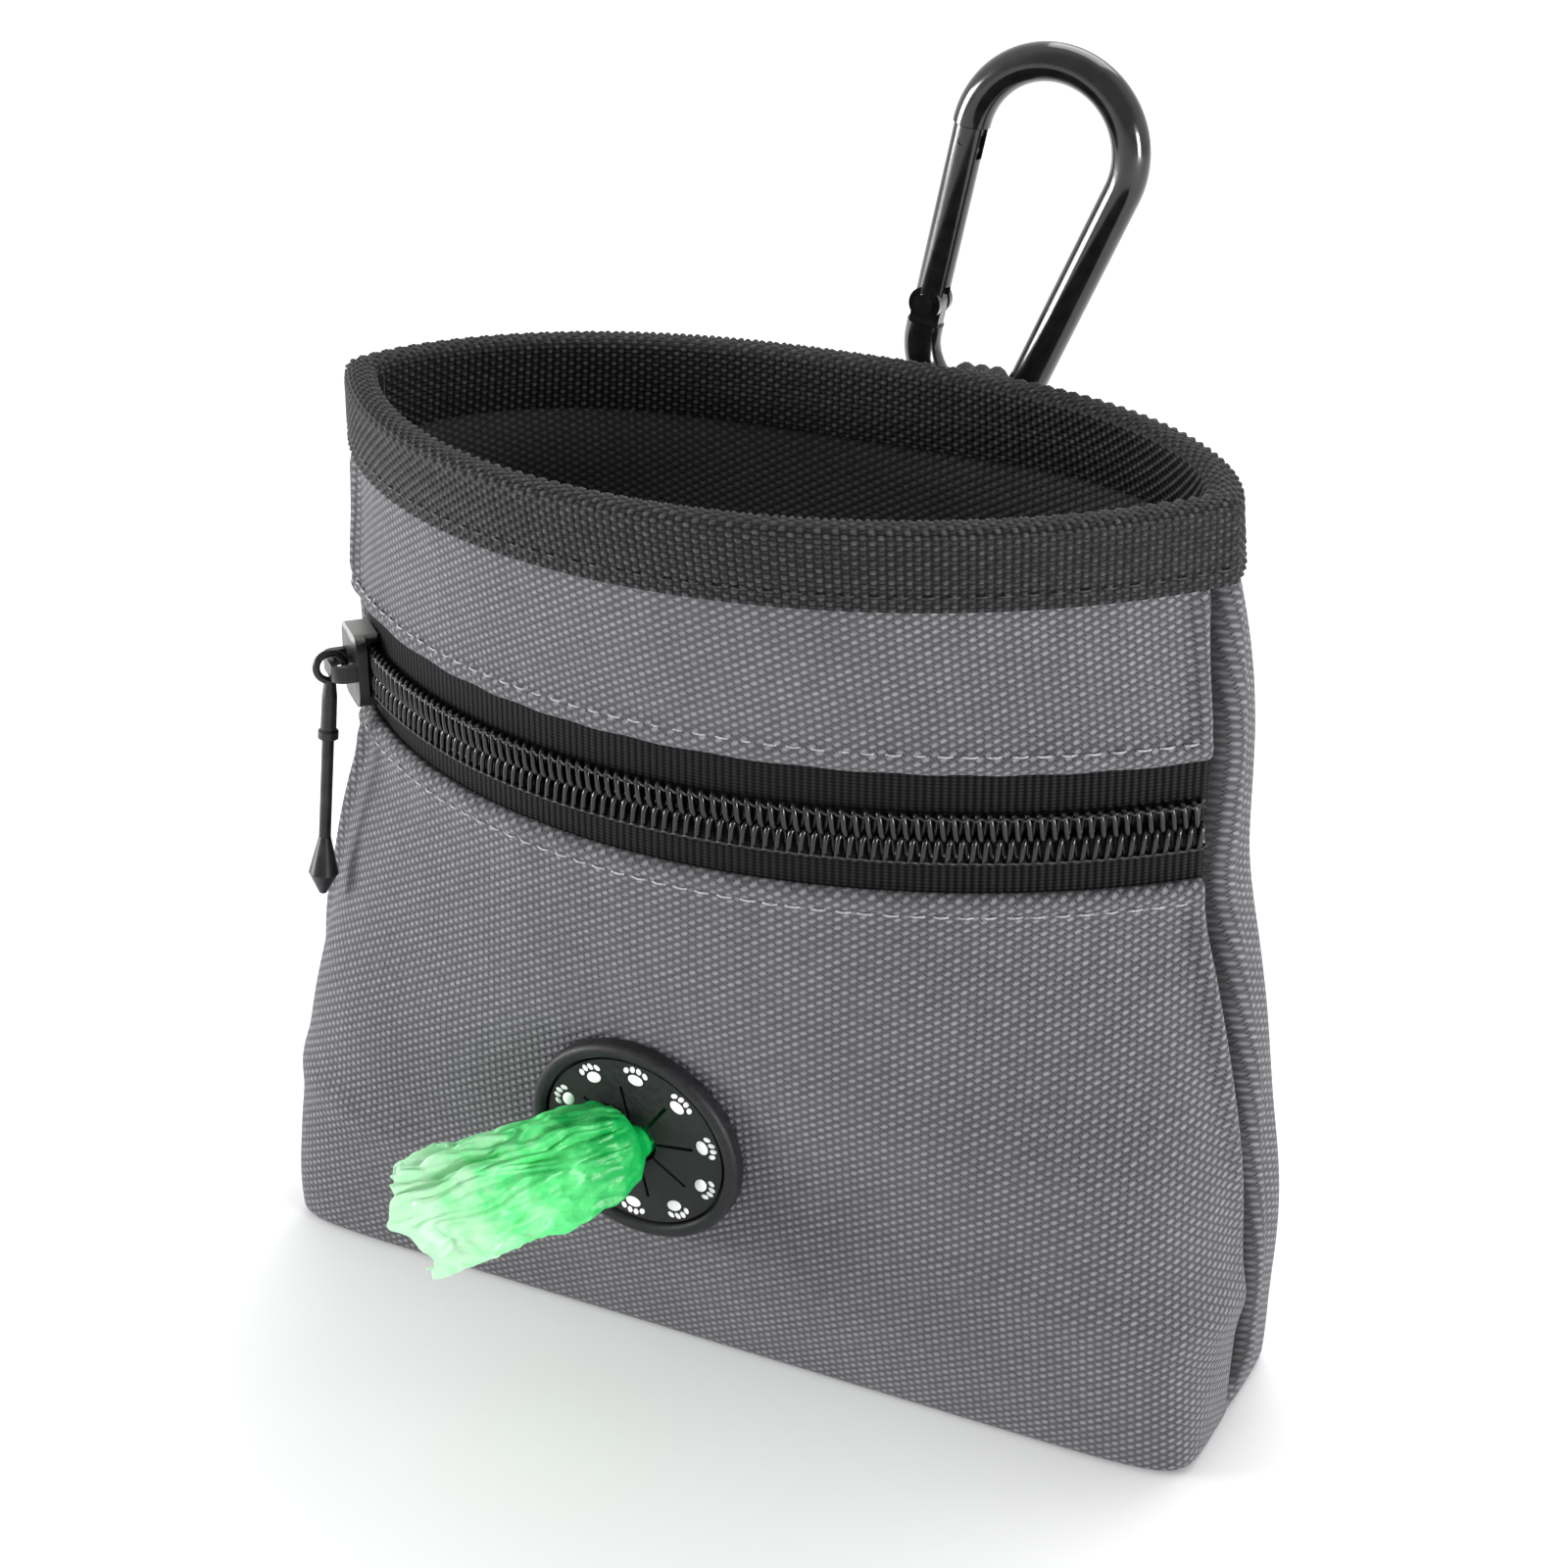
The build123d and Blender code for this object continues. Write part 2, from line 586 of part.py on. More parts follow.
gate_end = leg_length - 0.15
FORK_DEPTH = 2.6
gate = gate_rod(GATE_ROD, PIVOT_ALONG, gate_end)
gate += cross_rod(GATE_ROD, PIVOT_ALONG, 0, GATE_ROD - 0.15)
gate -= gate_block(PIVOT_ALONG - 4, PIVOT_ALONG + FORK_DEPTH, -4, 4, 2 * TANG_HALF + 0.4)
gate -= cross_rod(PIVOT_PIN + PIVOT_RUNNING, PIVOT_ALONG, 0, 4)
gate -= gate_block(leg_length - TONGUE - 0.6, leg_length + 1, -4, 4, 2 * TONGUE_HALF + 0.5)
gate -= cross_rod(LATCH_PIN, latch_along, 0.1, 4)
SPRING_HOLE = 1.2
SPRING_TOP = 16.6
gate -= gate_rod(SPRING_HOLE, PIVOT_ALONG + FORK_DEPTH - 0.5, SPRING_TOP)
save(gate, "carabiner_gate")

pin = cross_rod(PIVOT_PIN, PIVOT_ALONG, 0, GATE_ROD + 0.1)
for side in (-1, 1):
    centre = gate_point(PIVOT_ALONG, 0, side * (GATE_ROD + 0.25))
    pin += Plane(origin=centre, z_dir=(0, 1, 0)) * Cylinder(1.3, 0.4)
save(pin, "gate_pin")
save(cross_rod(LATCH_PIN, latch_along, 0.1, GATE_ROD - 0.2), "latch_pin")

SPRING_LOW = PIVOT_ALONG + FORK_DEPTH + 0.3
SPRING_WIRE = 0.2
SPRING_COIL = 0.85
SPRING_PITCH = 1.5
spring_height = SPRING_TOP - 0.5 - SPRING_LOW
helix = Helix(pitch=SPRING_PITCH, height=spring_height, radius=SPRING_COIL)
spring_start = Plane(origin=helix @ 0, z_dir=helix % 0)
spring = sweep(spring_start * Circle(SPRING_WIRE), path=helix, is_frenet=True)
save(gate_plane(SPRING_LOW) * spring, "gate_spring")
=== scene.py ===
import math

import bpy
import numpy as np
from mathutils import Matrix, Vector, noise


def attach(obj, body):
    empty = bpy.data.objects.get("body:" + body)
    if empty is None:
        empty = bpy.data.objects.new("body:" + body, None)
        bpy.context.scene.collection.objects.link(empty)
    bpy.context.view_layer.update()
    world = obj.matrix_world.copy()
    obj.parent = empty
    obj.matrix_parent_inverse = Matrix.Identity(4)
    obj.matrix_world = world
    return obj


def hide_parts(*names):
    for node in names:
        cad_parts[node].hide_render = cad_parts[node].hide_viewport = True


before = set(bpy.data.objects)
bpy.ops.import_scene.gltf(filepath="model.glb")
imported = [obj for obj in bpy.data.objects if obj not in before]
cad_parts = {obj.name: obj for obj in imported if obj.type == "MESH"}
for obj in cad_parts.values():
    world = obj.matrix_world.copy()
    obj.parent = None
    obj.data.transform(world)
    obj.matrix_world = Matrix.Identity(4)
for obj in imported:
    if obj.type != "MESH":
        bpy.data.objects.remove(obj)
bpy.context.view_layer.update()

# Shapes below are worked out in millimetres and turned into metres as each mesh is made.
MM = 0.001

# ------------------------------------------------------------------ camera

CAMERA_PLACE = (155.5, -298.8, 228.0)
CAMERA_TARGET = (-4.7, 14.88, 66.12)
CAMERA_LENS = 68.37


def make_camera():
    """The camera in front of the bag, above it and to its right."""
    data = bpy.data.cameras.new("camera")
    data.lens = CAMERA_LENS
    data.sensor_width = 36
    data.clip_start = 0.01
    data.clip_end = 20
    camera = bpy.data.objects.new("camera", data)
    bpy.context.scene.collection.objects.link(camera)
    place = Vector(CAMERA_PLACE) * MM
    target = Vector(CAMERA_TARGET) * MM
    camera.location = place
    camera.rotation_mode = "QUATERNION"
    camera.rotation_quaternion = (target - place).to_track_quat("-Z", "Y")
    bpy.context.scene.camera = camera


make_camera()

# ------------------------------------------------------------------ the bag's shape

ZIP_HALF_WIDTH = 59.9
ZIP_SAGITTA = 26.2
ZIP_RADIUS = (ZIP_HALF_WIDTH**2 + ZIP_SAGITTA**2) / (2 * ZIP_SAGITTA)
ZIP_AXIS_Y = ZIP_RADIUS - ZIP_SAGITTA - 0.05
ZIP_Z = 81.0
SLOT_LOW = ZIP_Z - 7.2
SLOT_HIGH = ZIP_Z + 8.0
TAPE_OUTER = ZIP_RADIUS - 1.12
RIM_TOP = 120.0
BINDING_LOW = 110.0
PANEL_TOP = 118.8
# The front turns from its lower curve into the zip's arc between these heights.
ARC_STARTS = 62.0
ARC_FULL = 70.0
FRONT = -1
BACK = 1

# Height, half width, front depth, back depth, then the side and depth powers of the
# front curve and of the back curve
SECTIONS = np.array([
    (0.0, 65.7, 17.0, 17.0, 14.0, 10.0, 14.0, 10.0),
    (6.0, 66.3, 18.5, 18.2, 10.0, 7.0, 10.0, 7.0),
    (21.0, 67.2, 21.5, 20.5, 5.2, 3.3, 7.0, 4.0),
    (47.0, 64.4, 25.0, 23.6, 2.35, 1.5, 6.5, 2.3),
    (62.0, 61.7, 26.0, 25.2, 2.1, 1.2, 6.5, 2.1),
    (70.0, ZIP_HALF_WIDTH, ZIP_SAGITTA, 26.0, 2.0, 1.1, 6.5, 2.0),
    (92.0, ZIP_HALF_WIDTH, ZIP_SAGITTA, 28.3, 2.0, 1.1, 5.5, 1.9),
    (104.0, 58.4, 29.2, 29.6, 2.0, 1.1, 4.3, 1.75),
    (110.0, 58.1, 30.3, 30.2, 2.0, 1.1, 3.6, 1.65),
    (120.0, 57.7, 32.5, 31.0, 2.0, 1.1, 2.5, 1.5),
])
SMOOTHING = np.array([-4.0, -2.0, 0.0, 2.0, 4.0])


def section_at(z):
    """Section sizes at a height, with the rows' corners rounded off."""
    near = np.clip(z + SMOOTHING * min(1.0, z / 8.0), 0, RIM_TOP)
    return [float(np.interp(near, SECTIONS[:, 0], SECTIONS[:, c]).mean()) for c in range(1, 8)]


def smoothstep(low, high, value):
    """0 at low, 1 at high, and a smooth rise between them."""
    share = np.clip((value - low) / (high - low), 0, 1)
    return share * share * (3 - 2 * share)


def resample(points, count):
    """The same line with count points, evenly spaced along it."""
    steps = np.linalg.norm(np.diff(points, axis=0), axis=1)
    along = np.concatenate([[0], np.cumsum(steps)])
    wanted = np.linspace(0, along[-1], count)
    columns = [np.interp(wanted, along, points[:, c]) for c in range(points.shape[1])]
    return np.stack(columns, axis=1), float(along[-1])


def half_curve(z, side, inset, count):
    """The front or back outline at a height, from left to right, and its length."""
    width, front, back, *powers = section_at(z)
    depth = (front if side == FRONT else back) - inset
    side_power, power = powers[:2] if side == FRONT else powers[2:]
    width = width - inset
    turn = np.linspace(0, math.pi, 1200)
    across = -np.cos(turn)
    x = width * np.abs(across) ** (2 / side_power) * np.sign(across)
    y = side * depth * np.sin(turn).clip(0) ** (2 / power)
    line, length = resample(np.stack([x, y], axis=1), count)
    if side == FRONT and z > ARC_STARTS:
        radius = (width**2 + depth**2) / (2 * depth)
        half = math.asin(width / radius)
        angle = np.linspace(-half, half, count)
        arc = np.stack([radius * np.sin(angle), radius - depth - radius * np.cos(angle)], axis=1)
        share = float(smoothstep(ARC_STARTS, ARC_FULL, z))
        line = line * (1 - share) + arc * share
        length = length * (1 - share) + 2 * half * radius * share
    return line, length


def on_zip(radius, angle, z):
    """Points at a radius and an angle (radians from the front) about the zip's axis."""
    return np.stack(
        [radius * np.sin(angle), ZIP_AXIS_Y - radius * np.cos(angle), z + 0 * angle], axis=-1
    )


def ripple(points, scale, seed):
    """Smooth noise from -1 to 1 at each point of a grid."""
    flat = points.reshape(-1, points.shape[-1])
    out = np.empty(len(flat))
    for i, p in enumerate(flat):
        out[i] = noise.noise(Vector((p[0] * scale + seed, p[1] * scale, p[2] * scale)))
    return out.reshape(points.shape[:-1])


# ------------------------------------------------------------------ mesh building


def make_object(name, verts, faces, uvs=None, smooth=True):
    """A mesh object from points in millimetres, with one UV (in millimetres) per vertex."""
    mesh = bpy.data.meshes.new(name)
    mesh.from_pydata((np.asarray(verts) * MM).tolist(), [], faces)
    if uvs is not None:
        layer = mesh.uv_layers.new(name="weave")
        loops = np.zeros(len(mesh.loops), dtype=np.int32)
        mesh.loops.foreach_get("vertex_index", loops)
        layer.data.foreach_set("uv", np.asarray(uvs, dtype=np.float32)[loops].ravel())
    mesh.polygons.foreach_set("use_smooth", [smooth] * len(mesh.polygons))
    mesh.validate()
    obj = bpy.data.objects.new(name, mesh)
    bpy.context.scene.collection.objects.link(obj)
    return obj


def grid_normals(grid, wrap=(False, False)):
    """Unit normals of a grid of points."""
    slopes = []
    for axis in (0, 1):
        if wrap[axis]:
            slopes.append(np.roll(grid, -1, axis) - np.roll(grid, 1, axis))
        else:
            slopes.append(np.gradient(grid, axis=axis))
    normal = np.cross(slopes[1], slopes[0])
    size = np.linalg.norm(normal, axis=-1, keepdims=True)
    return normal / np.maximum(size, 1e-9)


def sheet_object(name, outer, inner, uv, keep=None, outward=1):
    """A closed sheet between two grids of points. keep leaves cells out, for a hole."""
    rows, columns = outer.shape[:2]
    if keep is None:
        keep = np.ones((rows - 1, columns - 1), dtype=bool)
    count = rows * columns
    index = np.arange(count).reshape(rows, columns)
    faces = []

    def add(a, b, c, d):
        faces.append((a, b, c, d) if outward > 0 else (d, c, b, a))

    for r, c in zip(*np.nonzero(keep)):
        a, b = index[r, c], index[r, c + 1]
        d, e = index[r + 1, c + 1], index[r + 1, c]
        add(a, b, d, e)
        add(a + count, e + count, d + count, b + count)
        if r == 0 or not keep[r - 1, c]:
            add(b, a, a + count, b + count)
        if r == rows - 2 or not keep[r + 1, c]:
            add(e, d, d + count, e + count)
        if c == 0 or not keep[r, c - 1]:
            add(a, e, e + count, a + count)
        if c == columns - 2 or not keep[r, c + 1]:
            add(d, b, b + count, d + count)
    verts = np.concatenate([outer.reshape(-1, 3), inner.reshape(-1, 3)])
    both = np.concatenate([uv.reshape(-1, 2)] * 2)
    used = np.unique(np.array(faces))
    renumber = np.full(2 * count, -1)
    renumber[used] = np.arange(len(used))
    faces = renumber[np.array(faces)].tolist()
    return make_object(name, verts[used], faces, both[used])


def shade_creases(obj, shadow, keep):
    """Stores each vertex's share of shadow, in the order that sheet_object keeps them."""
    rows, columns = shadow.shape
    if keep is None:
        keep = np.ones((rows - 1, columns - 1), dtype=bool)
    used = np.zeros((rows, columns), dtype=bool)
    for down in (0, 1):
        for across in (0, 1):
            used[down:rows - 1 + down, across:columns - 1 + across] |= keep
    layer = obj.data.attributes.new("seam_shadow", "FLOAT", "POINT")
    layer.data.foreach_set("value", np.tile(shadow[used], 2).astype(np.float32))


def declare_sheet(uv, keep=None):
    """Works out the flat area of each cell of a cloth piece from its UVs in millimetres, and keeps
    none of it.
    """
    wide = np.abs(np.diff(uv[..., 0], axis=1))
    high = np.abs(np.diff(uv[..., 1], axis=0))
    cells = (wide[:-1] + wide[1:]) / 2 * (high[:, :-1] + high[:, 1:]) / 2
    if keep is not None:
        cells = cells * keep


def ring_faces(start, rings, sides):
    """Faces between rings of vertices that follow each other, from vertex start on."""
    faces = []
    for ring in range(rings - 1):
        for side in range(sides):
            a = start + ring * sides + side
            b = start + ring * sides + (side + 1) % sides
            faces.append((a, b, b + sides, a + sides))
    return faces


def tube_mesh(paths, radius, sides=6):
    """Vertices and faces of round tubes along paths, closed at their ends."""
    verts = []
    faces = []
    for path in paths:
        path = np.asarray(path, dtype=float)
        heading = np.gradient(path, axis=0)
        heading /= np.maximum(np.linalg.norm(heading, axis=1, keepdims=True), 1e-9)
        normal = np.cross(heading[0], (0.0, 0.0, 1.0))
        if np.linalg.norm(normal) < 1e-3:
            normal = np.array((1.0, 0.0, 0.0))
        start = len(verts)
        for point, forward in zip(path, heading):
            normal = normal - forward * normal.dot(forward)
            normal /= np.linalg.norm(normal)
            other = np.cross(forward, normal)
            for side in range(sides):
                turn = 2 * math.pi * side / sides
                verts.append(point + radius * (math.cos(turn) * normal + math.sin(turn) * other))
        last = start + (len(path) - 1) * sides
        faces += ring_faces(start, len(path), sides)
        faces.append(tuple(start + side for side in reversed(range(sides))))
        faces.append(tuple(last + side for side in range(sides)))
    return np.array(verts), faces


# ------------------------------------------------------------------ materials

CANVAS_COLUMN = 1.0
CANVAS_PITCH = 1.1
YARN_TILT = 0.22
WEBBING_ACROSS = 0.95
WEBBING_ALONG = 0.62
TAPE_RIB = 0.95
TAPE_YARN = 0.42
WORN_ABOVE = 84.8


class Shader:
    """A material and short ways to add nodes to it."""

    def __init__(self, name, **settings):
        self.material = bpy.data.materials.new(name)
        self.material.use_nodes = True
        self.tree = self.material.node_tree
        self.bsdf = self.tree.nodes["Principled BSDF"]
        for socket, value in settings.items():
            self.bsdf.inputs[socket.replace("_", " ")].default_value = value

    def node(self, kind, inputs=None, **settings):
        made = self.tree.nodes.new(kind)
        for key, value in settings.items():
            setattr(made, key, value)
        for key, value in (inputs or {}).items():
            self.feed(made.inputs[key], value)
        return made

    def feed(self, socket, value):
        if isinstance(value, bpy.types.NodeSocket):
            self.tree.links.new(value, socket)
        else:
            socket.default_value = value

    def math(self, operation, *values):
        made = self.node("ShaderNodeMath", operation=operation)
        for socket, value in zip(made.inputs, values):
            self.feed(socket, value)
        return made.outputs[0]

    def uv(self):
        split = self.node("ShaderNodeSeparateXYZ")
        source = self.node("ShaderNodeUVMap", uv_map="weave")
        self.tree.links.new(source.outputs[0], split.inputs[0])
        return split.outputs[0], split.outputs[1]

    def noise(self, scale, detail=2.0, roughness=0.5):
        settings = {"Scale": scale, "Detail": detail, "Roughness": roughness}
        made = self.node("ShaderNodeTexNoise", settings)
        self.feed(made.inputs["Vector"], self.node("ShaderNodeTexCoord").outputs["Object"])
        return made.outputs["Fac"]

    def spread(self, value, low, high, to_low, to_high):
        made = self.node("ShaderNodeMapRange")
        for socket, item in zip(made.inputs, (value, low, high, to_low, to_high)):
            self.feed(socket, item)
        return made.outputs[0]

    def blend(self, share, first, second):
        made = self.node("ShaderNodeMix", data_type="RGBA")
        self.feed(made.inputs[0], share)
        for socket, value in ((made.inputs[6], first), (made.inputs[7], second)):
            self.feed(socket, value if isinstance(value, bpy.types.NodeSocket) else (*value, 1))
        return made.outputs[2]

    def bump(self, height, strength, distance, before=None):
        made = self.node("ShaderNodeBump")
        made.inputs["Strength"].default_value = strength
        made.inputs["Distance"].default_value = distance
        self.feed(made.inputs["Height"], height)
        if before is not None:
            self.feed(made.inputs["Normal"], before)
        return made.outputs[0]

    def yarn_shade(self, column, row):
        """A random value from 0 to 1 for each crossing of two yarns."""
        shade = self.node("ShaderNodeTexWhiteNoise", noise_dimensions="2D")
        pair = self.node("ShaderNodeCombineXYZ")
        self.feed(pair.inputs[0], column)
        self.feed(pair.inputs[1], row)
        self.feed(shade.inputs["Vector"], pair.outputs[0])
        return shade.outputs["Value"]

    def beads(self, column, pitch, tilt):
        """Height and yarn shade of an oxford weave: tilted warp crowns in staggered columns."""
        u, v = self.uv()
        across = self.math("DIVIDE", u, column)
        place = self.math("ROUND", across)
        slant = self.math("MULTIPLY", self.math("SUBTRACT", across, place), tilt)
        tilted = self.math("SUBTRACT", v, slant)
        wave_u = self.math("COSINE", self.math("MULTIPLY", across, math.pi))
        wave_v = self.math("COSINE", self.math("MULTIPLY", tilted, 2 * math.pi / pitch))
        rib = self.math("COSINE", self.math("MULTIPLY", across, 2 * math.pi))
        crown = self.spread(self.math("MULTIPLY", wave_u, wave_v), -0.7, 0.85, 0.1, 0.86)
        height = self.math("ADD", crown, self.spread(rib, -1.0, 1.0, 0.0, 0.14))
        edge_u = self.math("SUBTRACT", 1.0, self.math("MULTIPLY", wave_u, wave_u))
        edge_v = self.math("SUBTRACT", 1.0, self.math("MULTIPLY", wave_v, wave_v))
        hole = self.spread(self.math("MULTIPLY", edge_u, edge_v), 0.5, 1.0, 0.0, 0.5)
        height = self.math("MAXIMUM", self.math("SUBTRACT", height, hole), 0.0)
        row = self.math("ROUND", self.math("DIVIDE", tilted, pitch / 2))
        return height, self.yarn_shade(place, row)

    def weave(self, across, along):
        """Height and yarn shade of a plain weave, for yarns of these widths."""
        u, v = self.uv()
        cells = []
        for value, width in ((u, across), (v, along)):
            scaled = self.math("DIVIDE", value, width)
            floor = self.math("FLOOR", scaled)
            wave = self.math("SINE", self.math("MULTIPLY", self.math("FRACT", scaled), math.pi))
            cells.append((floor, wave))
        (floor_u, wave_u), (floor_v, wave_v) = cells
        total = self.math("ADD", floor_u, floor_v)
        odd = self.math("ABSOLUTE", self.math("FLOORED_MODULO", total, 2.0))
        round_v = self.math("ADD", 0.45, self.math("MULTIPLY", wave_v, 0.55))
        round_u = self.math("ADD", 0.45, self.math("MULTIPLY", wave_u, 0.55))
        warp = self.math("MULTIPLY", wave_u, round_v)
        weft = self.math("MULTIPLY", self.math("MULTIPLY", wave_v, round_u), 0.55)
        mix = self.node("ShaderNodeMix", data_type="FLOAT")
        self.feed(mix.inputs[0], odd)
        self.feed(mix.inputs[2], weft)
        self.feed(mix.inputs[3], warp)
        column = self.math("ADD", floor_u, self.math("MULTIPLY", odd, 31.0))
        return mix.outputs[0], self.yarn_shade(column, floor_v)


def canvas_material(name, ground, crown):
    """Grey oxford: light warp crowns in staggered columns on a darker ground. The ground is the
    darker weft, and it also fills the gaps between the crowns as painted shade.
    """
    s = Shader(name, Roughness=0.8, Specular_IOR_Level=0.3, Sheen_Weight=0.1, Sheen_Roughness=0.45)
    height, shade = s.beads(CANVAS_COLUMN, CANVAS_PITCH, YARN_TILT)
    light = s.math("MULTIPLY", height, s.spread(shade, 0.0, 1.0, 0.72, 1.0))
    color = s.blend(light, ground, crown)
    cloud = s.noise(55.0, 4.0)
    # Painted shadow in the side seams' grooves, stored on each wall, darkens the cloth down to 0.07
    # of its colour.
    shadow = s.node("ShaderNodeAttribute", attribute_name="seam_shadow").outputs["Fac"]
    uneven = s.spread(cloud, 0.3, 0.7, 0.92, 1.06)
    tone = s.math("MULTIPLY", uneven, s.spread(shadow, 0.0, 1.0, 1.0, 0.07))
    scaled = s.node("ShaderNodeVectorMath", operation="SCALE")
    s.feed(scaled.inputs[0], color)
    s.feed(scaled.inputs["Scale"], tone)
    s.feed(s.bsdf.inputs["Base Color"], scaled.outputs[0])
    fuzz = s.noise(2600.0, 2.0)
    rough = s.bump(fuzz, 0.25, 0.00008)
    s.feed(s.bsdf.inputs["Normal"], s.bump(height, 0.9, 0.00035, rough))
    return s.material


def webbing_material():
    """Black woven webbing: fine filaments run along each raised yarn."""
    s = Shader("webbing", Roughness=0.55, Specular_IOR_Level=0.22)
    height, shade = s.weave(WEBBING_ACROSS, WEBBING_ALONG)
    # Colour follows the weave's height: near black in the gaps between yarns, painted shade, and
    # lighter on the raised yarns, partly painted highlight, with a random tone for each yarn.
    light = s.math("MULTIPLY", s.spread(height, 0.25, 0.95, 0, 1), s.spread(shade, 0, 1, 0.45, 1))
    s.feed(s.bsdf.inputs["Base Color"], s.blend(light, (0.002, 0.002, 0.0023), (0.07, 0.07, 0.073)))
    filament = s.math("SINE", s.math("MULTIPLY", s.uv()[0], 42.0))
    fine = s.bump(filament, 0.25, 0.00004)
    s.feed(s.bsdf.inputs["Normal"], s.bump(height, 0.5, 0.00015, fine))
    return s.material


def tape_material():
    """Black zip tape: ribs across the tape over a fine weave."""
    s = Shader("zip_tape", Roughness=0.7, Specular_IOR_Level=0.1)
    u, v = s.uv()
    ribs = s.math("ABSOLUTE", s.math("SINE", s.math("MULTIPLY", u, math.pi / TAPE_RIB)))
    fine = s.math("ABSOLUTE", s.math("SINE", s.math("MULTIPLY", v, math.pi / TAPE_YARN)))
    height = s.math("ADD", s.math("MULTIPLY", ribs, 0.7), s.math("MULTIPLY", fine, 0.3))
    # Colour follows the height: the tops of the ribs and yarns keep the tape's black, and below them
    # it falls almost to nothing, painted shade in the weave's hollows.
    light = s.math("POWER", height, 4.0)
    s.feed(s.bsdf.inputs["Base Color"], s.blend(light, (0.001, 0.001, 0.0011), (0.022, 0.022, 0.024)))
    s.feed(s.bsdf.inputs["Normal"], s.bump(height, 0.8, 0.00025))
    return s.material


def plain_material(name, color, tint, roughness, scale, bump, **settings):
    """A moulded, painted or spun surface: two close tones, fine grain and uneven gloss."""
    s = Shader(name, **settings)
    grain = s.noise(scale, 4.0)
    s.feed(s.bsdf.inputs["Base Color"], s.blend(s.spread(grain, 0.35, 0.65, 0, 1), color, tint))
    s.feed(s.bsdf.inputs["Roughness"], s.spread(grain, 0.3, 0.7, roughness * 0.85, roughness * 1.2))
    s.feed(s.bsdf.inputs["Normal"], s.bump(grain, 0.35, bump))
    return s.material


def slider_material():
    """Black painted slider, worn to bare metal over the top of its body."""
    s = Shader("slider_metal", Metallic=0.4)
    grain = s.noise(300.0, 4.0)
    split = s.node("ShaderNodeSeparateXYZ")
    s.feed(split.inputs[0], s.node("ShaderNodeTexCoord").outputs["Object"])
    height = s.math("ADD", split.outputs[2], s.spread(grain, 0.3, 0.7, -0.0006, 0.0006))
    worn = s.spread(height, WORN_ABOVE * MM, (WORN_ABOVE + 0.5) * MM, 0.0, 1.0)
    paint = s.blend(s.spread(grain, 0.35, 0.65, 0, 1), (0.012, 0.012, 0.0135), (0.03, 0.03, 0.032))
    s.feed(s.bsdf.inputs["Base Color"], s.blend(worn, paint, (0.3, 0.3, 0.285)))
    s.feed(s.bsdf.inputs["Roughness"], s.spread(grain, 0.3, 0.7, 0.28, 0.42))
    s.feed(s.bsdf.inputs["Normal"], s.bump(grain, 0.35, 0.00003))
    return s.material


def film_material():
    """Thin green film: saturated and darker where it is gathered, partly painted shade from the pouch
    over the neck, and paler towards its loose end.
    """
    s = Shader(
        "bag_film", Roughness=0.36, Specular_IOR_Level=0.4,
        Subsurface_Weight=0.25, Subsurface_Scale=0.003, Subsurface_Radius=(0.4, 1.0, 0.5),
    )
    crinkle = s.noise(330.0, 5.0, roughness=0.6)
    uneven = s.spread(crinkle, 0.3, 0.7, -0.22, 0.22)
    pale = s.math("ADD", s.spread(s.uv()[1], 1.0, 29.0, 0.0, 1.0), uneven)
    # Darkest green at the gathered neck: partly the gathered film's own depth of colour, partly
    # painted shade where the pouch shades the neck.
    middle = s.blend(s.spread(pale, 0.1, 0.5, 0, 1), (0.002, 0.38, 0.062), (0.095, 0.8, 0.205))
    color = s.blend(s.spread(pale, 0.5, 1.0, 0, 1), middle, (0.55, 0.96, 0.62))
    s.feed(s.bsdf.inputs["Base Color"], color)
    s.feed(s.bsdf.inputs["Alpha"], s.spread(pale, 0.4, 1.1, 1.0, 0.74))
    s.feed(s.bsdf.inputs["Normal"], s.bump(crinkle, 0.45, 0.0006))
    return s.material


CANVAS = canvas_material("canvas", (0.024, 0.0235, 0.027), (0.235, 0.23, 0.248))
# The lining is the canvas at about half its brightness: painted shade for the inside of the bag, used
# on the linings and the divider.
SHADED_LINING = canvas_material("lining", (0.02, 0.02, 0.022), (0.115, 0.113, 0.12))
WEBBING = webbing_material()
TAPE = tape_material()
COIL = plain_material("coil", (0.003, 0.003, 0.0033), (0.007, 0.007, 0.0075), 0.2, 900, 0.00002)
THREAD = plain_material("thread", (0.2, 0.2, 0.21), (0.46, 0.46, 0.47), 0.6, 4000, 0.00006)
DARK_THREAD = plain_material(
    "dark_thread", (0.006, 0.006, 0.006), (0.02, 0.02, 0.02), 0.5, 4000, 0.00006
)
SLIDER_PAINT = slider_material()
RUBBER = plain_material(
    "port_rubber", (0.009, 0.009, 0.01), (0.016, 0.016, 0.018), 0.5, 1400, 0.00002,
    Specular_IOR_Level=0.28,
)
WHITE = plain_material("port_white", (0.78, 0.78, 0.78), (0.88, 0.88, 0.88), 0.5, 900, 0.00002)
BACKING = plain_material("backing", (0.02, 0.02, 0.022), (0.04, 0.04, 0.042), 0.5, 700, 0.00003)
ANODISED = plain_material(
    "anodised", (0.006, 0.006, 0.007), (0.012, 0.012, 0.013), 0.16, 500, 0.000004,
    Metallic=0.35, Coat_Weight=0.6, Coat_Roughness=0.08,
)
STEEL = plain_material(
    "spring_steel", (0.42, 0.42, 0.44), (0.6, 0.6, 0.62), 0.3, 900, 0.00001, Metallic=1.0
)
FILM = film_material()
ROLL_FILM = plain_material("roll_film", (0.02, 0.4, 0.07), (0.05, 0.6, 0.14), 0.35, 700, 0.0002)
CARD = plain_material("card", (0.36, 0.25, 0.15), (0.5, 0.37, 0.24), 0.8, 600, 0.0001)


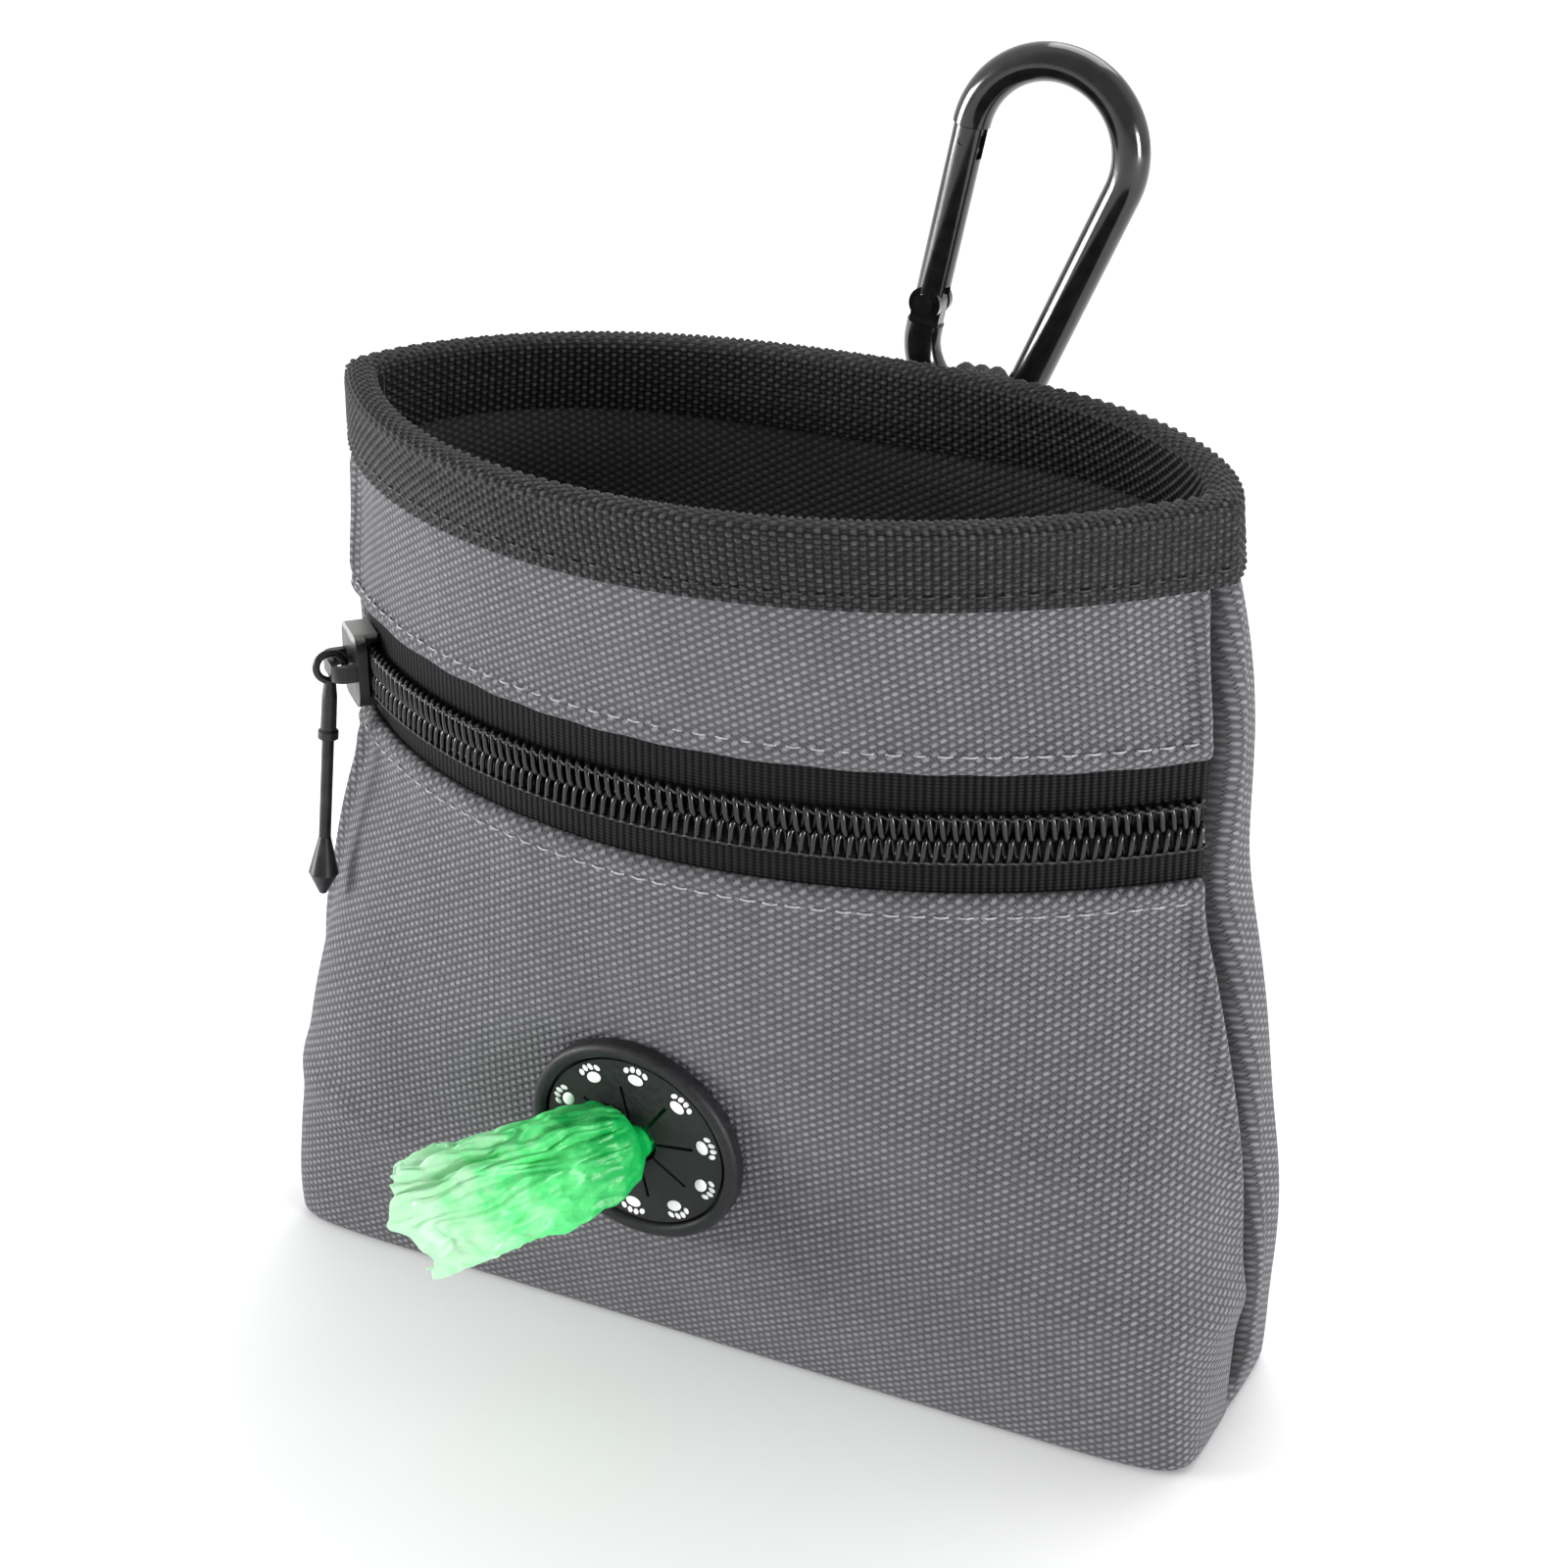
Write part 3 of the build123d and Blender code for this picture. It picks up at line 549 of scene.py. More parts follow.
def finish_piece(obj, material, slot, body, *nodes):
    """Gives a piece its material and body, and the CAD nodes that it stands for. Its slot is not
    used.
    """
    obj.data.materials.clear()
    obj.data.materials.append(material)
    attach(obj, body)
    if nodes:
        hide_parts(*nodes)
    return obj


def repaint(node, material):
    """A CAD node that stays, with a better material."""
    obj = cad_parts[node]
    if not obj.data.materials:
        obj.data.materials.append(material)
    for place in range(len(obj.material_slots)):
        obj.material_slots[place].material = material


# ------------------------------------------------------------------ fabric shells

PORT_X = -5.2
PORT_Z = 33.7
PORT_HOLE = 9.6
BOTTOM_ROUND = 1.6
CANVAS_THICK = 0.9
LINING_THICK = 0.5
LINING_INSET = 1.25
FRONT_LINING_LOW = 90.0
BACK_LINING_LOW = 2.0
ROW_STEP = 0.6


def seam_lip(distance):
    """Height of the rolled edge beside a side seam, by distance from the seam."""
    return 1.2 * np.exp(-(((distance - 3.1) / 1.4) ** 2))


def seam_groove(distance):
    """How far the cloth is drawn in at a side seam, by distance from the seam."""
    return 2.5 * np.exp(-((distance / 1.4) ** 2))


def seam_dark(distance, z):
    """Share of shadow in the seam's groove, by distance from the seam and height."""
    reach = 2.2 - 0.6 * smoothstep(15.0, 50.0, z)
    return np.exp(-((distance / reach) ** 4))


def side_swell(distance, z):
    """Fullness of the back panel just behind the side seams."""
    swell = 1.6 * np.exp(-(((distance - 9.5) / 4.6) ** 2))
    return swell * smoothstep(8.0, 30.0, z) * smoothstep(116.0, 98.0, z)


def hem(distance):
    """Extra height of a folded and stitched edge, by distance from the edge."""
    fold = 0.7 * (1 - smoothstep(2.0, 3.4, distance))
    stitch = 0.2 * np.exp(-(((distance - 2.5) / 0.45) ** 2))
    edge = 0.8 * np.exp(-((distance / 0.5) ** 2))
    return fold - stitch - edge


def shell_rows(low, high, step, floor):
    """Rows (height, inset, share of depth) of a wall, from the floor's middle seam up."""
    rows = []
    if floor:
        for share in np.linspace(0.02, 0.9, 14):
            rows.append((0.0, BOTTOM_ROUND, share))
        for turn in np.linspace(0, math.pi / 2, 6)[:-1]:
            z = BOTTOM_ROUND * (1 - math.cos(turn))
            rows.append((z, BOTTOM_ROUND * (1 - math.sin(turn)), 1.0))
        low = BOTTOM_ROUND
    count = int((high - low) / step) + 1
    rows += [(z, 0.0, 1.0) for z in np.linspace(low, high, count)]
    return rows


def wall_grid(side, rows, columns, inset=0.0):
    """Points and UVs of a wall. The UVs are lengths in millimetres."""
    grid = np.zeros((len(rows), columns, 3))
    uv = np.zeros((len(rows), columns, 2))
    along = 0.0
    before = None
    for r, (z, extra, share) in enumerate(rows):
        line, length = half_curve(z, side, inset + extra, columns)
        grid[r, :, 0] = line[:, 0]
        grid[r, :, 1] = line[:, 1] * share
        grid[r, :, 2] = z
        if before is not None:
            along += float(np.linalg.norm(grid[r, columns // 2] - before))
        before = grid[r, columns // 2].copy()
        uv[r, :, 0] = np.linspace(-length / 2, length / 2, columns)
        uv[r, :, 1] = along
    return grid, uv


def port_distance(grid):
    """Distance from the port's middle, seen from the front."""
    return np.hypot(grid[..., 0] - PORT_X, grid[..., 2] - PORT_Z)


def fabric_wall(name, side, low, high, floor, thickness, relief, keep=None, columns=300, inset=0.0):
    """One canvas or lining wall with its relief."""
    rows = shell_rows(low, high, ROW_STEP, floor)
    grid, uv = wall_grid(side, rows, columns, inset)
    normal = grid_normals(grid)
    if normal[len(rows) // 2, columns // 2, 1] * side < 0:
        normal = -normal
    seam = np.minimum(uv[..., 0] - uv[:, :1, 0], uv[:, -1:, 0] - uv[..., 0])
    drawn_in = np.zeros_like(grid)
    drawn_in[..., 0] = -np.sign(grid[..., 0]) * seam_groove(seam) * smoothstep(0.0, 6.0, grid[..., 2])
    grid = grid + drawn_in
    outer = grid + normal * relief(grid, uv, seam)[..., None]
    outer[..., 2] = np.maximum(outer[..., 2], 0.0)
    inner = grid - normal * thickness
    mask = keep(grid) if keep else None
    wall = sheet_object(name, outer, inner, uv, mask, outward=side)
    # Painted shadow in the seams' grooves, and on the back a faint painted shade line where the
    # rolled edge meets the swell. Both fade out near the floor.
    shadow = seam_dark(seam, grid[..., 2])
    if side == BACK:
        shadow = shadow + 0.3 * np.exp(-(((seam - 5.2) / 0.6) ** 2))
    shadow = shadow * smoothstep(1.5, 5.0, grid[..., 2])
    shade_creases(wall, shadow, mask)
    declare_sheet(uv, mask)
    return wall


def waves(grid, side):
    """Slow unevenness of the cloth."""
    slow = ripple(grid, 0.028, 3.7 + side)
    quick = ripple(grid, 0.075, 11.2 + side)
    return 0.9 * slow + 0.3 * quick


def pucker(uv, distance, reach, pitch, seed):
    """Small gathers along a stitched edge."""
    drift = 1.3 * np.sin(uv[..., 0] * 0.11 + seed)
    wave = np.sin(uv[..., 0] * 2 * math.pi / pitch + drift)
    return 0.14 * wave * np.exp(-distance / reach)


def base_fade(grid):
    """0 on the floor, growing to 1 a little way up the wall."""
    return smoothstep(0.5, 14.0, grid[..., 2])


def lower_front_relief(grid, uv, seam):
    """Relief of the front below the zip: a hem, a slack fold low down, and a seat for the port."""
    z = grid[..., 2]
    from_slot = SLOT_LOW - z
    height = waves(grid, FRONT) * base_fade(grid) * smoothstep(0, 16, from_slot)
    height += (hem(from_slot) + pucker(uv, from_slot, 7.0, 8.5, 0.4)) * smoothstep(0, 3, seam)
    height += seam_lip(seam) * smoothstep(14.0, 50.0, z) * smoothstep(0.0, 5.0, from_slot)
    fold = z - 22.0 - 3.0 * np.sin(grid[..., 0] * 0.06)
    height += 0.7 * np.exp(-((fold / 3.2) ** 2)) * smoothstep(8, 45, np.abs(grid[..., 0] - 4))
    reach = port_distance(grid)
    height -= 0.35 * np.exp(-(((reach - 15.5) / 2.2) ** 2))
    near = smoothstep(24.0, 13.0, reach)
    return height * (1 - near) - 0.12 * near


def upper_front_relief(grid, uv, seam):
    """Relief of the front above the zip: a hem below, and gathers under the binding."""
    z = grid[..., 2]
    from_slot = z - SLOT_HIGH
    from_rim = BINDING_LOW - z
    height = waves(grid, FRONT) * smoothstep(0, 8, from_slot) * smoothstep(-4, 5, from_rim) * 0.6
    height += (hem(from_slot) + pucker(uv, from_slot, 6.0, 9.5, 1.9)) * smoothstep(0, 3, seam)
    height += pucker(uv, np.abs(from_rim), 4.0, 6.0, 0.7) * 0.8
    height += seam_lip(seam) * smoothstep(-2.0, 3.0, from_rim) * smoothstep(0.0, 5.0, from_slot)
    return np.where(z > BINDING_LOW, np.minimum(height, 0.0), height)


def back_relief(grid, uv, seam):
    """Relief of the back: gathers under the binding, and fullness beside the seams."""
    z = grid[..., 2]
    from_rim = BINDING_LOW - z
    height = waves(grid, BACK) * base_fade(grid) * smoothstep(-2, 12, from_rim)
    height += pucker(uv, np.abs(from_rim), 4.0, 6.5, 2.3) * 0.8
    height += seam_lip(seam) * smoothstep(2.0, 9.0, z) * smoothstep(-2.0, 3.0, from_rim)
    height += side_swell(seam, z)
    return np.where(z > BINDING_LOW, np.minimum(height, 0.0), height)


def port_hole(grid):
    """False for the cells inside the port's hole."""
    centre = (grid[:-1, :-1] + grid[1:, 1:]) / 2
    off_base = centre[..., 1] < -15
    return ~((port_distance(centre) < PORT_HOLE) & off_base)


def make_canvases():
    """The three outer walls of the bag."""
    thick = CANVAS_THICK
    lower = fabric_wall(
        "front_lower_canvas", FRONT, 0, SLOT_LOW, True, thick, lower_front_relief, port_hole, 380
    )
    finish_piece(lower, CANVAS, "canvas", "pouch", "front_lower_panel")
    upper = fabric_wall(
        "front_upper_canvas", FRONT, SLOT_HIGH, PANEL_TOP, False, thick, upper_front_relief, None, 340
    )
    finish_piece(upper, CANVAS, "canvas", "pouch", "front_upper_panel")
    back = fabric_wall("back_canvas", BACK, 0, PANEL_TOP, True, thick, back_relief, None, 420)
    finish_piece(back, CANVAS, "canvas", "pouch", "back_panel")


make_canvases()


def lining_relief(grid, uv, seam):
    """The linings lie flat."""
    return np.zeros_like(seam)


def make_linings():
    """The inner cloth walls, each a thin sheet inside its canvas."""
    for name, side, low in (
        ("front_lining", FRONT, FRONT_LINING_LOW),
        ("back_lining", BACK, BACK_LINING_LOW),
    ):
        lining = fabric_wall(
            name + "_cloth", side, low, PANEL_TOP, False, LINING_THICK, lining_relief,
            inset=LINING_INSET,
        )
        finish_piece(lining, SHADED_LINING, "lining", "pouch", name)


make_linings()

# Divider rows: height, half width, how far forward its middle stands, power
DIVIDER_ROWS = np.array([
    (1.3, 61.0, 8.9, 4.0),
    (30.0, 63.0, 8.9, 3.5),
    (60.0, 56.0, -9.0, 2.5),
    (88.0, 52.0, -20.4, 2.0),
    (95.0, 56.0, -23.4, 2.0),
])


def make_divider():
    """Cloth wall between the zip pocket and the treats."""
    heights = np.linspace(DIVIDER_ROWS[0, 0], DIVIDER_ROWS[-1, 0], 110)
    columns = 140
    share = np.linspace(-1, 1, columns)
    grid = np.zeros((len(heights), columns, 3))
    uv = np.zeros((len(heights), columns, 2))
    for r, z in enumerate(heights):
        end, middle, power = (
            np.interp(z, DIVIDER_ROWS[:, 0], DIVIDER_ROWS[:, c]) for c in (1, 2, 3)
        )
        grid[r, :, 0] = end * share
        grid[r, :, 1] = middle * (1 - np.abs(share) ** power)
        grid[r, :, 2] = z
        uv[r, :, 0] = end * share
        uv[r, :, 1] = z
    free = smoothstep(30, 55, grid[..., 2]) * smoothstep(88, 70, grid[..., 2])
    grid[..., 1] += 1.4 * ripple(grid, 0.05, 7.7) * free * (1 - share**4)
    normal = grid_normals(grid)
    normal *= np.sign(normal[len(heights) // 2, columns // 2, 1])
    divider = sheet_object("divider_cloth", grid + 0.8 * normal, grid + 0.1 * normal, uv, None, 1)
    declare_sheet(uv)
    finish_piece(divider, SHADED_LINING, "lining", "pouch", "divider_panel")


make_divider()

# ------------------------------------------------------------------ rim binding


def make_binding():
    """Webbing folded over the rim, with its weave raised."""
    profile = [(-1.12, BINDING_LOW), (-1.16, BINDING_LOW + 2), (-1.16, 118.6)]
    for turn in np.linspace(0, math.pi, 13):
        profile.append((0.86 - 2.0 * math.cos(turn), 118.75 + 1.2 * math.sin(turn)))
    profile += [(2.86, 118.6), (2.86, BINDING_LOW)]
    outside, _ = resample(np.array(profile), 112)
    inside = np.array([(1.95, BINDING_LOW), (1.95, 118.7), (-0.2, 118.7), (-0.2, BINDING_LOW)])
    half = 640
    rings = []
    lengths = []
    for inset, z in np.concatenate([outside, inside]):
        front, front_length = half_curve(z, FRONT, inset, half)
        behind, back_length = half_curve(z, BACK, inset, half)
        loop = np.concatenate([front[:-1], behind[::-1][:-1]])
        rings.append(np.column_stack([loop, np.full(len(loop), z)]))
        lengths.append(front_length + back_length)
    grid = np.array(rings)
    count = grid.shape[1]
    around = np.linspace(0, 1, count, endpoint=False) * float(np.mean(lengths))
    down = np.concatenate([np.linspace(0, 24.0, len(outside)), np.linspace(24.5, 45, len(inside))])
    uv = np.zeros((*grid.shape[:2], 2))
    uv[..., 0] = around[None, :]
    uv[..., 1] = down[:, None]
    normal = grid_normals(grid, (True, True))
    if normal[5, half // 2, 1] > 0:
        normal = -normal
    cells = 2 * round(float(np.mean(lengths)) / WEBBING_ACROSS / 2)
    uv[..., 0] *= cells * WEBBING_ACROSS / float(np.mean(lengths))
    cell_u = uv[..., 0] / WEBBING_ACROSS
    cell_v = uv[..., 1] / WEBBING_ALONG
    odd = (np.floor(cell_u) + np.floor(cell_v)) % 2
    bead = np.abs(np.sin(math.pi * cell_u)) ** 0.7 * np.abs(np.sin(math.pi * cell_v)) ** 0.7
    relief = bead * np.where(odd > 0, 0.44, 0.1)
    shown = np.zeros(len(grid))
    shown[1:len(outside) - 1] = 1
    stitch = 0.22 * np.exp(-(((uv[..., 1] - 1.9) / 0.4) ** 2))
    grid = grid + normal * ((relief - stitch) * shown[:, None])[..., None]
    grid[..., 2] = np.minimum(grid[..., 2], RIM_TOP + 0.3)
    rows = len(grid)
    index = np.arange(rows * count).reshape(rows, count)
    faces = []
    for r in range(rows):
        for c in range(count):
            a, b = index[r, c], index[r, (c + 1) % count]
            d, e = index[(r + 1) % rows, (c + 1) % count], index[(r + 1) % rows, c]
            faces.append((a, b, d, e))
    binding = make_object("rim_binding_webbing", grid.reshape(-1, 3), faces, uv.reshape(-1, 2))
    finish_piece(binding, WEBBING, "webbing", "pouch", "rim_binding")


make_binding()

# ------------------------------------------------------------------ stitching

STITCH_END = 44.6
RIM_STITCH_UP = 1.9


def stitches(name, line, up, pitch, length, radius, material, slot, *nodes):
    """Separate stitches along a line of points. up lifts each stitch's middle."""
    line, total = resample(line, 1200)
    count = int(total / pitch)
    paths = []
    chance = np.random.RandomState(7)
    for stitch in range(count):
        start = (stitch + 0.5 - length / pitch / 2 + chance.uniform(-0.06, 0.06)) / count
        sunk = chance.uniform(0.3, 1.0)
        path = []
        for step in np.linspace(0, 1, 7):
            place = (start + step * length / total) * (len(line) - 1)
            low = int(min(max(place, 0), len(line) - 2))
            point = line[low] + (line[low + 1] - line[low]) * (place - low)
            path.append(point + up(point) * (math.sin(math.pi * step) * 1.9 - 0.6 - sunk) * radius)
        paths.append(path)
    verts, faces = tube_mesh(paths, radius)
    finish_piece(make_object(name, verts, faces), material, slot, "pouch", *nodes)


def zip_outward(point):
    """Direction away from the zip's axis."""
    away = np.array([point[0], point[1] - ZIP_AXIS_Y, 0.0])
    return away / np.linalg.norm(away)


def zip_line(radius, z):
    """Line of a row of stitches beside the zip, ending short of the side seams."""
    angle = np.radians(np.linspace(-STITCH_END, STITCH_END, 600))
    return on_zip(radius, angle, z)


for side, height in (("upper", SLOT_HIGH + 2.5), ("lower", SLOT_LOW - 2.5)):
    stitches(
        "zip_stitches_" + side, zip_line(ZIP_RADIUS + 0.52, height), zip_outward,
        2.8, 1.75, 0.14, THREAD, "thread", "zip_stitching_" + side,
    )


def rim_line():
    """Line of the binding's lower stitching, round the whole rim."""
    z = BINDING_LOW + RIM_STITCH_UP
    front, _ = half_curve(z, FRONT, -1.2, 500)
    behind, _ = half_curve(z, BACK, -1.2, 500)
    loop = np.concatenate([front, behind[::-1]])
    return np.column_stack([loop, np.full(len(loop), z)])


def rim_outward(point):
    """Direction out of the binding, mostly to the front or the back."""
    away = np.array([point[0] * 0.25, point[1], 0.0])
    return away / max(np.linalg.norm(away), 1e-6)


stitches(
    "rim_stitches", rim_line(), rim_outward,
    2.9, 1.9, 0.16, DARK_THREAD, "dark_thread", "rim_stitching",
)

# ------------------------------------------------------------------ zip

ZIP_END = math.radians(45.9)
COIL_PITCH = 1.4
COIL_WIRE = 0.35
COIL_REACH = 3.35
HEAD_PAST = 0.42
COIL_DEPTH = 0.6
SEWING_Z = 2.75
SEWING_RADIUS = 0.17
TAPE_THICK = 0.6


def make_tape(name, low, high, node):
    """One side of the zip's tape."""
    rows = np.linspace(low, high, 28)
    angle = np.linspace(-ZIP_END, ZIP_END, 260)
    outer = np.array([on_zip(TAPE_OUTER, angle, z) for z in rows])
    inner = np.array([on_zip(TAPE_OUTER - TAPE_THICK, angle, z) for z in rows])
    uv = np.zeros((*outer.shape[:2], 2))
    uv[..., 0] = angle[None, :] * TAPE_OUTER
    uv[..., 1] = rows[:, None]
    tape = sheet_object(name, outer, inner, uv, None, -1)
    finish_piece(tape, TAPE, "zip_tape", "pouch", node)


make_tape("zip_tape_upper_cloth", ZIP_Z + 0.6, ZIP_Z + 14.0, "zip_tape_upper")
make_tape("zip_tape_lower_cloth", ZIP_Z - 14.0, ZIP_Z - 0.6, "zip_tape_lower")


def coil_side(name, sign, phase, node):
    """One nylon coil: a flattened helix whose heads cross the middle, and its sewing thread."""
    middle = (COIL_REACH - HEAD_PAST) / 2
    half = (COIL_REACH + HEAD_PAST) / 2 - COIL_WIRE
    radius = TAPE_OUTER + 0.95
    length = 2 * ZIP_END * radius
    turns = int(length / COIL_PITCH) - 1
    steps = 18
    total = turns * steps + 1
    turn = np.arange(total) / steps
    angle = 2 * math.pi * turn
    across = np.sign(np.cos(angle)) * np.abs(np.cos(angle)) ** 0.75
    out = np.sign(np.sin(angle)) * np.abs(np.sin(angle)) ** 0.75
    along = (turn + phase + 0.5) * COIL_PITCH - length / 2
    z = ZIP_Z + sign * (middle + half * across)
    path = on_zip(radius + COIL_DEPTH * out, along / radius, 0)
    path[:, 2] = z
    verts, faces = tube_mesh([path], COIL_WIRE, 8)
    coil = make_object(name, verts, faces)
    finish_piece(coil, COIL, "coil", "pouch", node)
    place = np.linspace(-length / 2 + 1, length / 2 - 1, 1400)
    wave = 2 * math.pi * place / COIL_PITCH
    lift = TAPE_OUTER + 1.68 + 0.12 * np.cos(wave + SEWING_Z * 5)
    thread = on_zip(lift, place / radius, 0)
    thread[:, 2] = ZIP_Z + sign * (SEWING_Z + 0.1 * np.sin(wave))
    verts, faces = tube_mesh([thread], SEWING_RADIUS, 5)
    sewing = make_object(name + "_sewing", verts, faces)
    finish_piece(sewing, DARK_THREAD, "dark_thread", "pouch")


coil_side("zip_coil_upper_helix", 1, 0.0, "zip_coil_upper")
coil_side("zip_coil_lower_helix", -1, 0.5, "zip_coil_lower")

# ------------------------------------------------------------------ pieces kept from the CAD

for node, material in (
    ("slider_body", SLIDER_PAINT),
    ("pull_tab", SLIDER_PAINT),
    ("port_disc", RUBBER),
    ("port_backing_ring", BACKING),
    ("bag_roll", ROLL_FILM),
    ("bag_roll_core", CARD),
    ("carabiner_frame", ANODISED),
    ("carabiner_gate", ANODISED),
    ("gate_pin", ANODISED),
    ("latch_pin", ANODISED),
    ("gate_spring", STEEL),
    ("loop_bar_tacks", DARK_THREAD),
):
    repaint(node, material)

# ------------------------------------------------------------------ port

PORT_NORMAL = np.array([0.0, -0.99113, -0.13293])
PORT_UP = np.array([0.0, -0.13293, 0.99113])
PORT_CENTRE = np.array([PORT_X, -23.259, PORT_Z])
# Height of the port's face over the canvas, and the ring that the marks stand on
MARK_BASE = 1.62
MARK_COUNT = 10
MARK_RING = 10.45


def on_port(right, up, out):
    """A point on the port: right and up across its face, out from the canvas."""
    return PORT_CENTRE + np.array([right, 0.0, 0.0]) + PORT_UP * up + PORT_NORMAL * out


def dome(centre, wide, tall, turn, high, verts, faces):
    """A low oval dome on the port's face."""
    rings, sides = 4, 14
    start = len(verts)
    for ring in range(rings):
        lift = math.pi / 2 * ring / rings
        size = math.cos(lift)
        for side in range(sides):
            angle = 2 * math.pi * side / sides
            a = wide * size * math.cos(angle)
            b = tall * size * math.sin(angle)
            right = a * math.cos(turn) - b * math.sin(turn)
            up = a * math.sin(turn) + b * math.cos(turn)
            out = MARK_BASE + high * math.sin(lift)
            verts.append(on_port(centre[0] + right, centre[1] + up, out))
    verts.append(on_port(centre[0], centre[1], MARK_BASE + high))
    faces += ring_faces(start, rings, sides)
    top = start + rings * sides
    for side in range(sides):
        a = start + (rings - 1) * sides + side
        b = start + (rings - 1) * sides + (side + 1) % sides
        faces.append((a, b, top))
    faces.append(tuple(start + side for side in reversed(range(sides))))


def make_marks():
    """A ring of small raised paw prints."""
    verts, faces = [], []
    for mark in range(MARK_COUNT):
        turn = 2 * math.pi * mark / MARK_COUNT + 0.2
        radial = np.array([math.cos(turn), math.sin(turn)])
        side = np.array([-math.sin(turn), math.cos(turn)])
        centre = radial * MARK_RING
        facing = turn - math.pi / 2
        dome(centre - radial * 0.55, 1.1, 0.85, facing, 0.3, verts, faces)
        for toe in (-1.5, -0.5, 0.5, 1.5):
            place = centre + side * toe * 0.86 + radial * (1.08 - 0.3 * abs(toe) ** 1.4)
            dome(place, 0.37, 0.53, facing - 0.2 * toe, 0.26, verts, faces)
    marks = make_object("port_paw_prints", verts, faces)
    finish_piece(marks, WHITE, "port_white", "pouch", "port_marks")


make_marks()

# ------------------------------------------------------------------ lead bag

BAG_PATH = np.array([
    tuple(PORT_CENTRE - 13.5 * PORT_NORMAL),
    tuple(PORT_CENTRE - 4 * PORT_NORMAL),
    tuple(PORT_CENTRE + 2.2 * PORT_NORMAL),
    (-7.9, -28.8, 32.9),
    (-12.5, -33.6, 31.8),
    (-17.5, -38.0, 30.2),
    (-21.8, -41.6, 28.4),
    (-25.6, -44.6, 26.7),
])
# Share of the path's length, half height, half thickness, crumple
BAG_SIZES = np.array([
    (0.00, 2.1, 2.1, 0.02),
    (0.345, 2.3, 2.3, 0.04),
    (0.370, 4.6, 3.5, 0.14),
    (0.42, 5.7, 4.2, 0.2),
    (0.54, 6.1, 4.6, 0.23),
    (0.74, 6.9, 4.8, 0.26),
    (0.90, 7.2, 4.3, 0.28),
    (1.00, 6.6, 3.2, 0.3),
])
CRUMPLE_SIZE = 5.2
CRUMPLE_STRETCH = 0.5
FILM_THICK = 0.1


def smooth_line(points, count):
    """A rounded line through points."""
    fine, _ = resample(points, 400)
    kernel = np.hanning(61)
    kernel /= kernel.sum()
    padded = np.concatenate([
        fine[:1] + (fine[:1] - fine[30:0:-1]), fine, fine[-1:] + (fine[-1:] - fine[-2:-32:-1]),
    ])
    rounded = np.stack([np.convolve(padded[:, c], kernel, "valid") for c in range(3)], axis=1)
    return resample(rounded, count)


def crumple(turn, wide, thick, along):
    """Crumpled relief, from about -1 to 1, at a place round and along the gathered film."""
    place = Vector((wide * math.sin(turn), thick * math.cos(turn), along * CRUMPLE_STRETCH))
    place /= CRUMPLE_SIZE
    place += Vector((0.15, 0.15, 0.15)) * noise.noise(place * 2.0)
    near, second = noise.voronoi(place + Vector((3.1, 0.4, 2.2)))[0][:2]
    facet = 1.0 - 1.5 * near
    near, second = noise.voronoi(place * 2.3 + Vector((9.1, 2.0, 4.0)))[0][:2]
    small = min(second - near, 0.5)
    ridge = 1 - 2.6 * abs(noise.noise(place * Vector((1.5, 1.5, 0.7)) + Vector((1.7, 5.2, 8.8))))
    wisp = 1 - 2.6 * abs(noise.noise(place * Vector((4.5, 4.5, 1.3)) + Vector((6.0, 1.1, 3.3))))
    return 0.5 * facet + 0.45 * ridge + 0.4 * small + 0.22 * wisp - 0.2


def make_lead_bag():
    """Gathered film bag: a crumpled, flattened tube that spreads at its loose end."""
    rings, sides = 190, 280
    line, length = smooth_line(BAG_PATH, rings)
    heading = np.gradient(line, axis=0)
    heading /= np.linalg.norm(heading, axis=1, keepdims=True)
    verts, uv = [], []
    for ring in range(rings):
        share = ring / (rings - 1)
        wide, thick, depth = (
            float(np.interp(share, BAG_SIZES[:, 0], BAG_SIZES[:, c])) for c in (1, 2, 3)
        )
        up = np.array([0.0, 0.0, 1.0]) - heading[ring] * heading[ring][2]
        up /= np.linalg.norm(up)
        across = np.cross(heading[ring], up)
        loose = max(0.0, share - 0.55) / 0.45
        for side in range(sides):
            angle = 2 * math.pi * side / sides
            turn = Vector((math.cos(angle), math.sin(angle), 0.0))
            size = 1 + depth * 1.5 * crumple(angle, wide, thick, share * length)
            edge = noise.noise(turn * 1.3 + Vector((0.0, 0.0, 7.0))) * 3.2
            edge += noise.noise(turn * 3.6 + Vector((0.0, 0.0, 3.0))) * 1.0
            boxed = abs(math.sin(angle)) ** 0.8 * math.copysign(1, math.sin(angle))
            point = line[ring] + heading[ring] * edge * loose**1.5
            point = point + up * wide * boxed * size + across * thick * math.cos(angle) * size
            verts.append(point)
            uv.append((side * 0.2, share * length - 14.0))
    bag = make_object("lead_bag_film", verts, ring_faces(0, rings, sides), uv)
    film = bag.modifiers.new("thickness", "SOLIDIFY")
    film.thickness = FILM_THICK * MM
    film.offset = -1
    finish_piece(bag, FILM, "bag_film", "bag", "lead_bag")


make_lead_bag()

# ------------------------------------------------------------------ carabiner loop

LOOP_X = 11.2
LOOP_PATH_LOW = [(30.95, 92.0), (30.95, 99.0), (31.0, 103.5), (32.3, 108.0), (33.0, 113.0)]
LOOP_PATH_HIGH = [
    (42.4, 113.0), (39.6, 108.6), (36.2, 104.4), (33.2, 101.2), (32.4, 97.5), (32.3, 92.0),
]
LOOP_BEND = (37.7, 113.0)
LOOP_BEND_RADIUS = 4.7
LOOP_THICK = 0.9


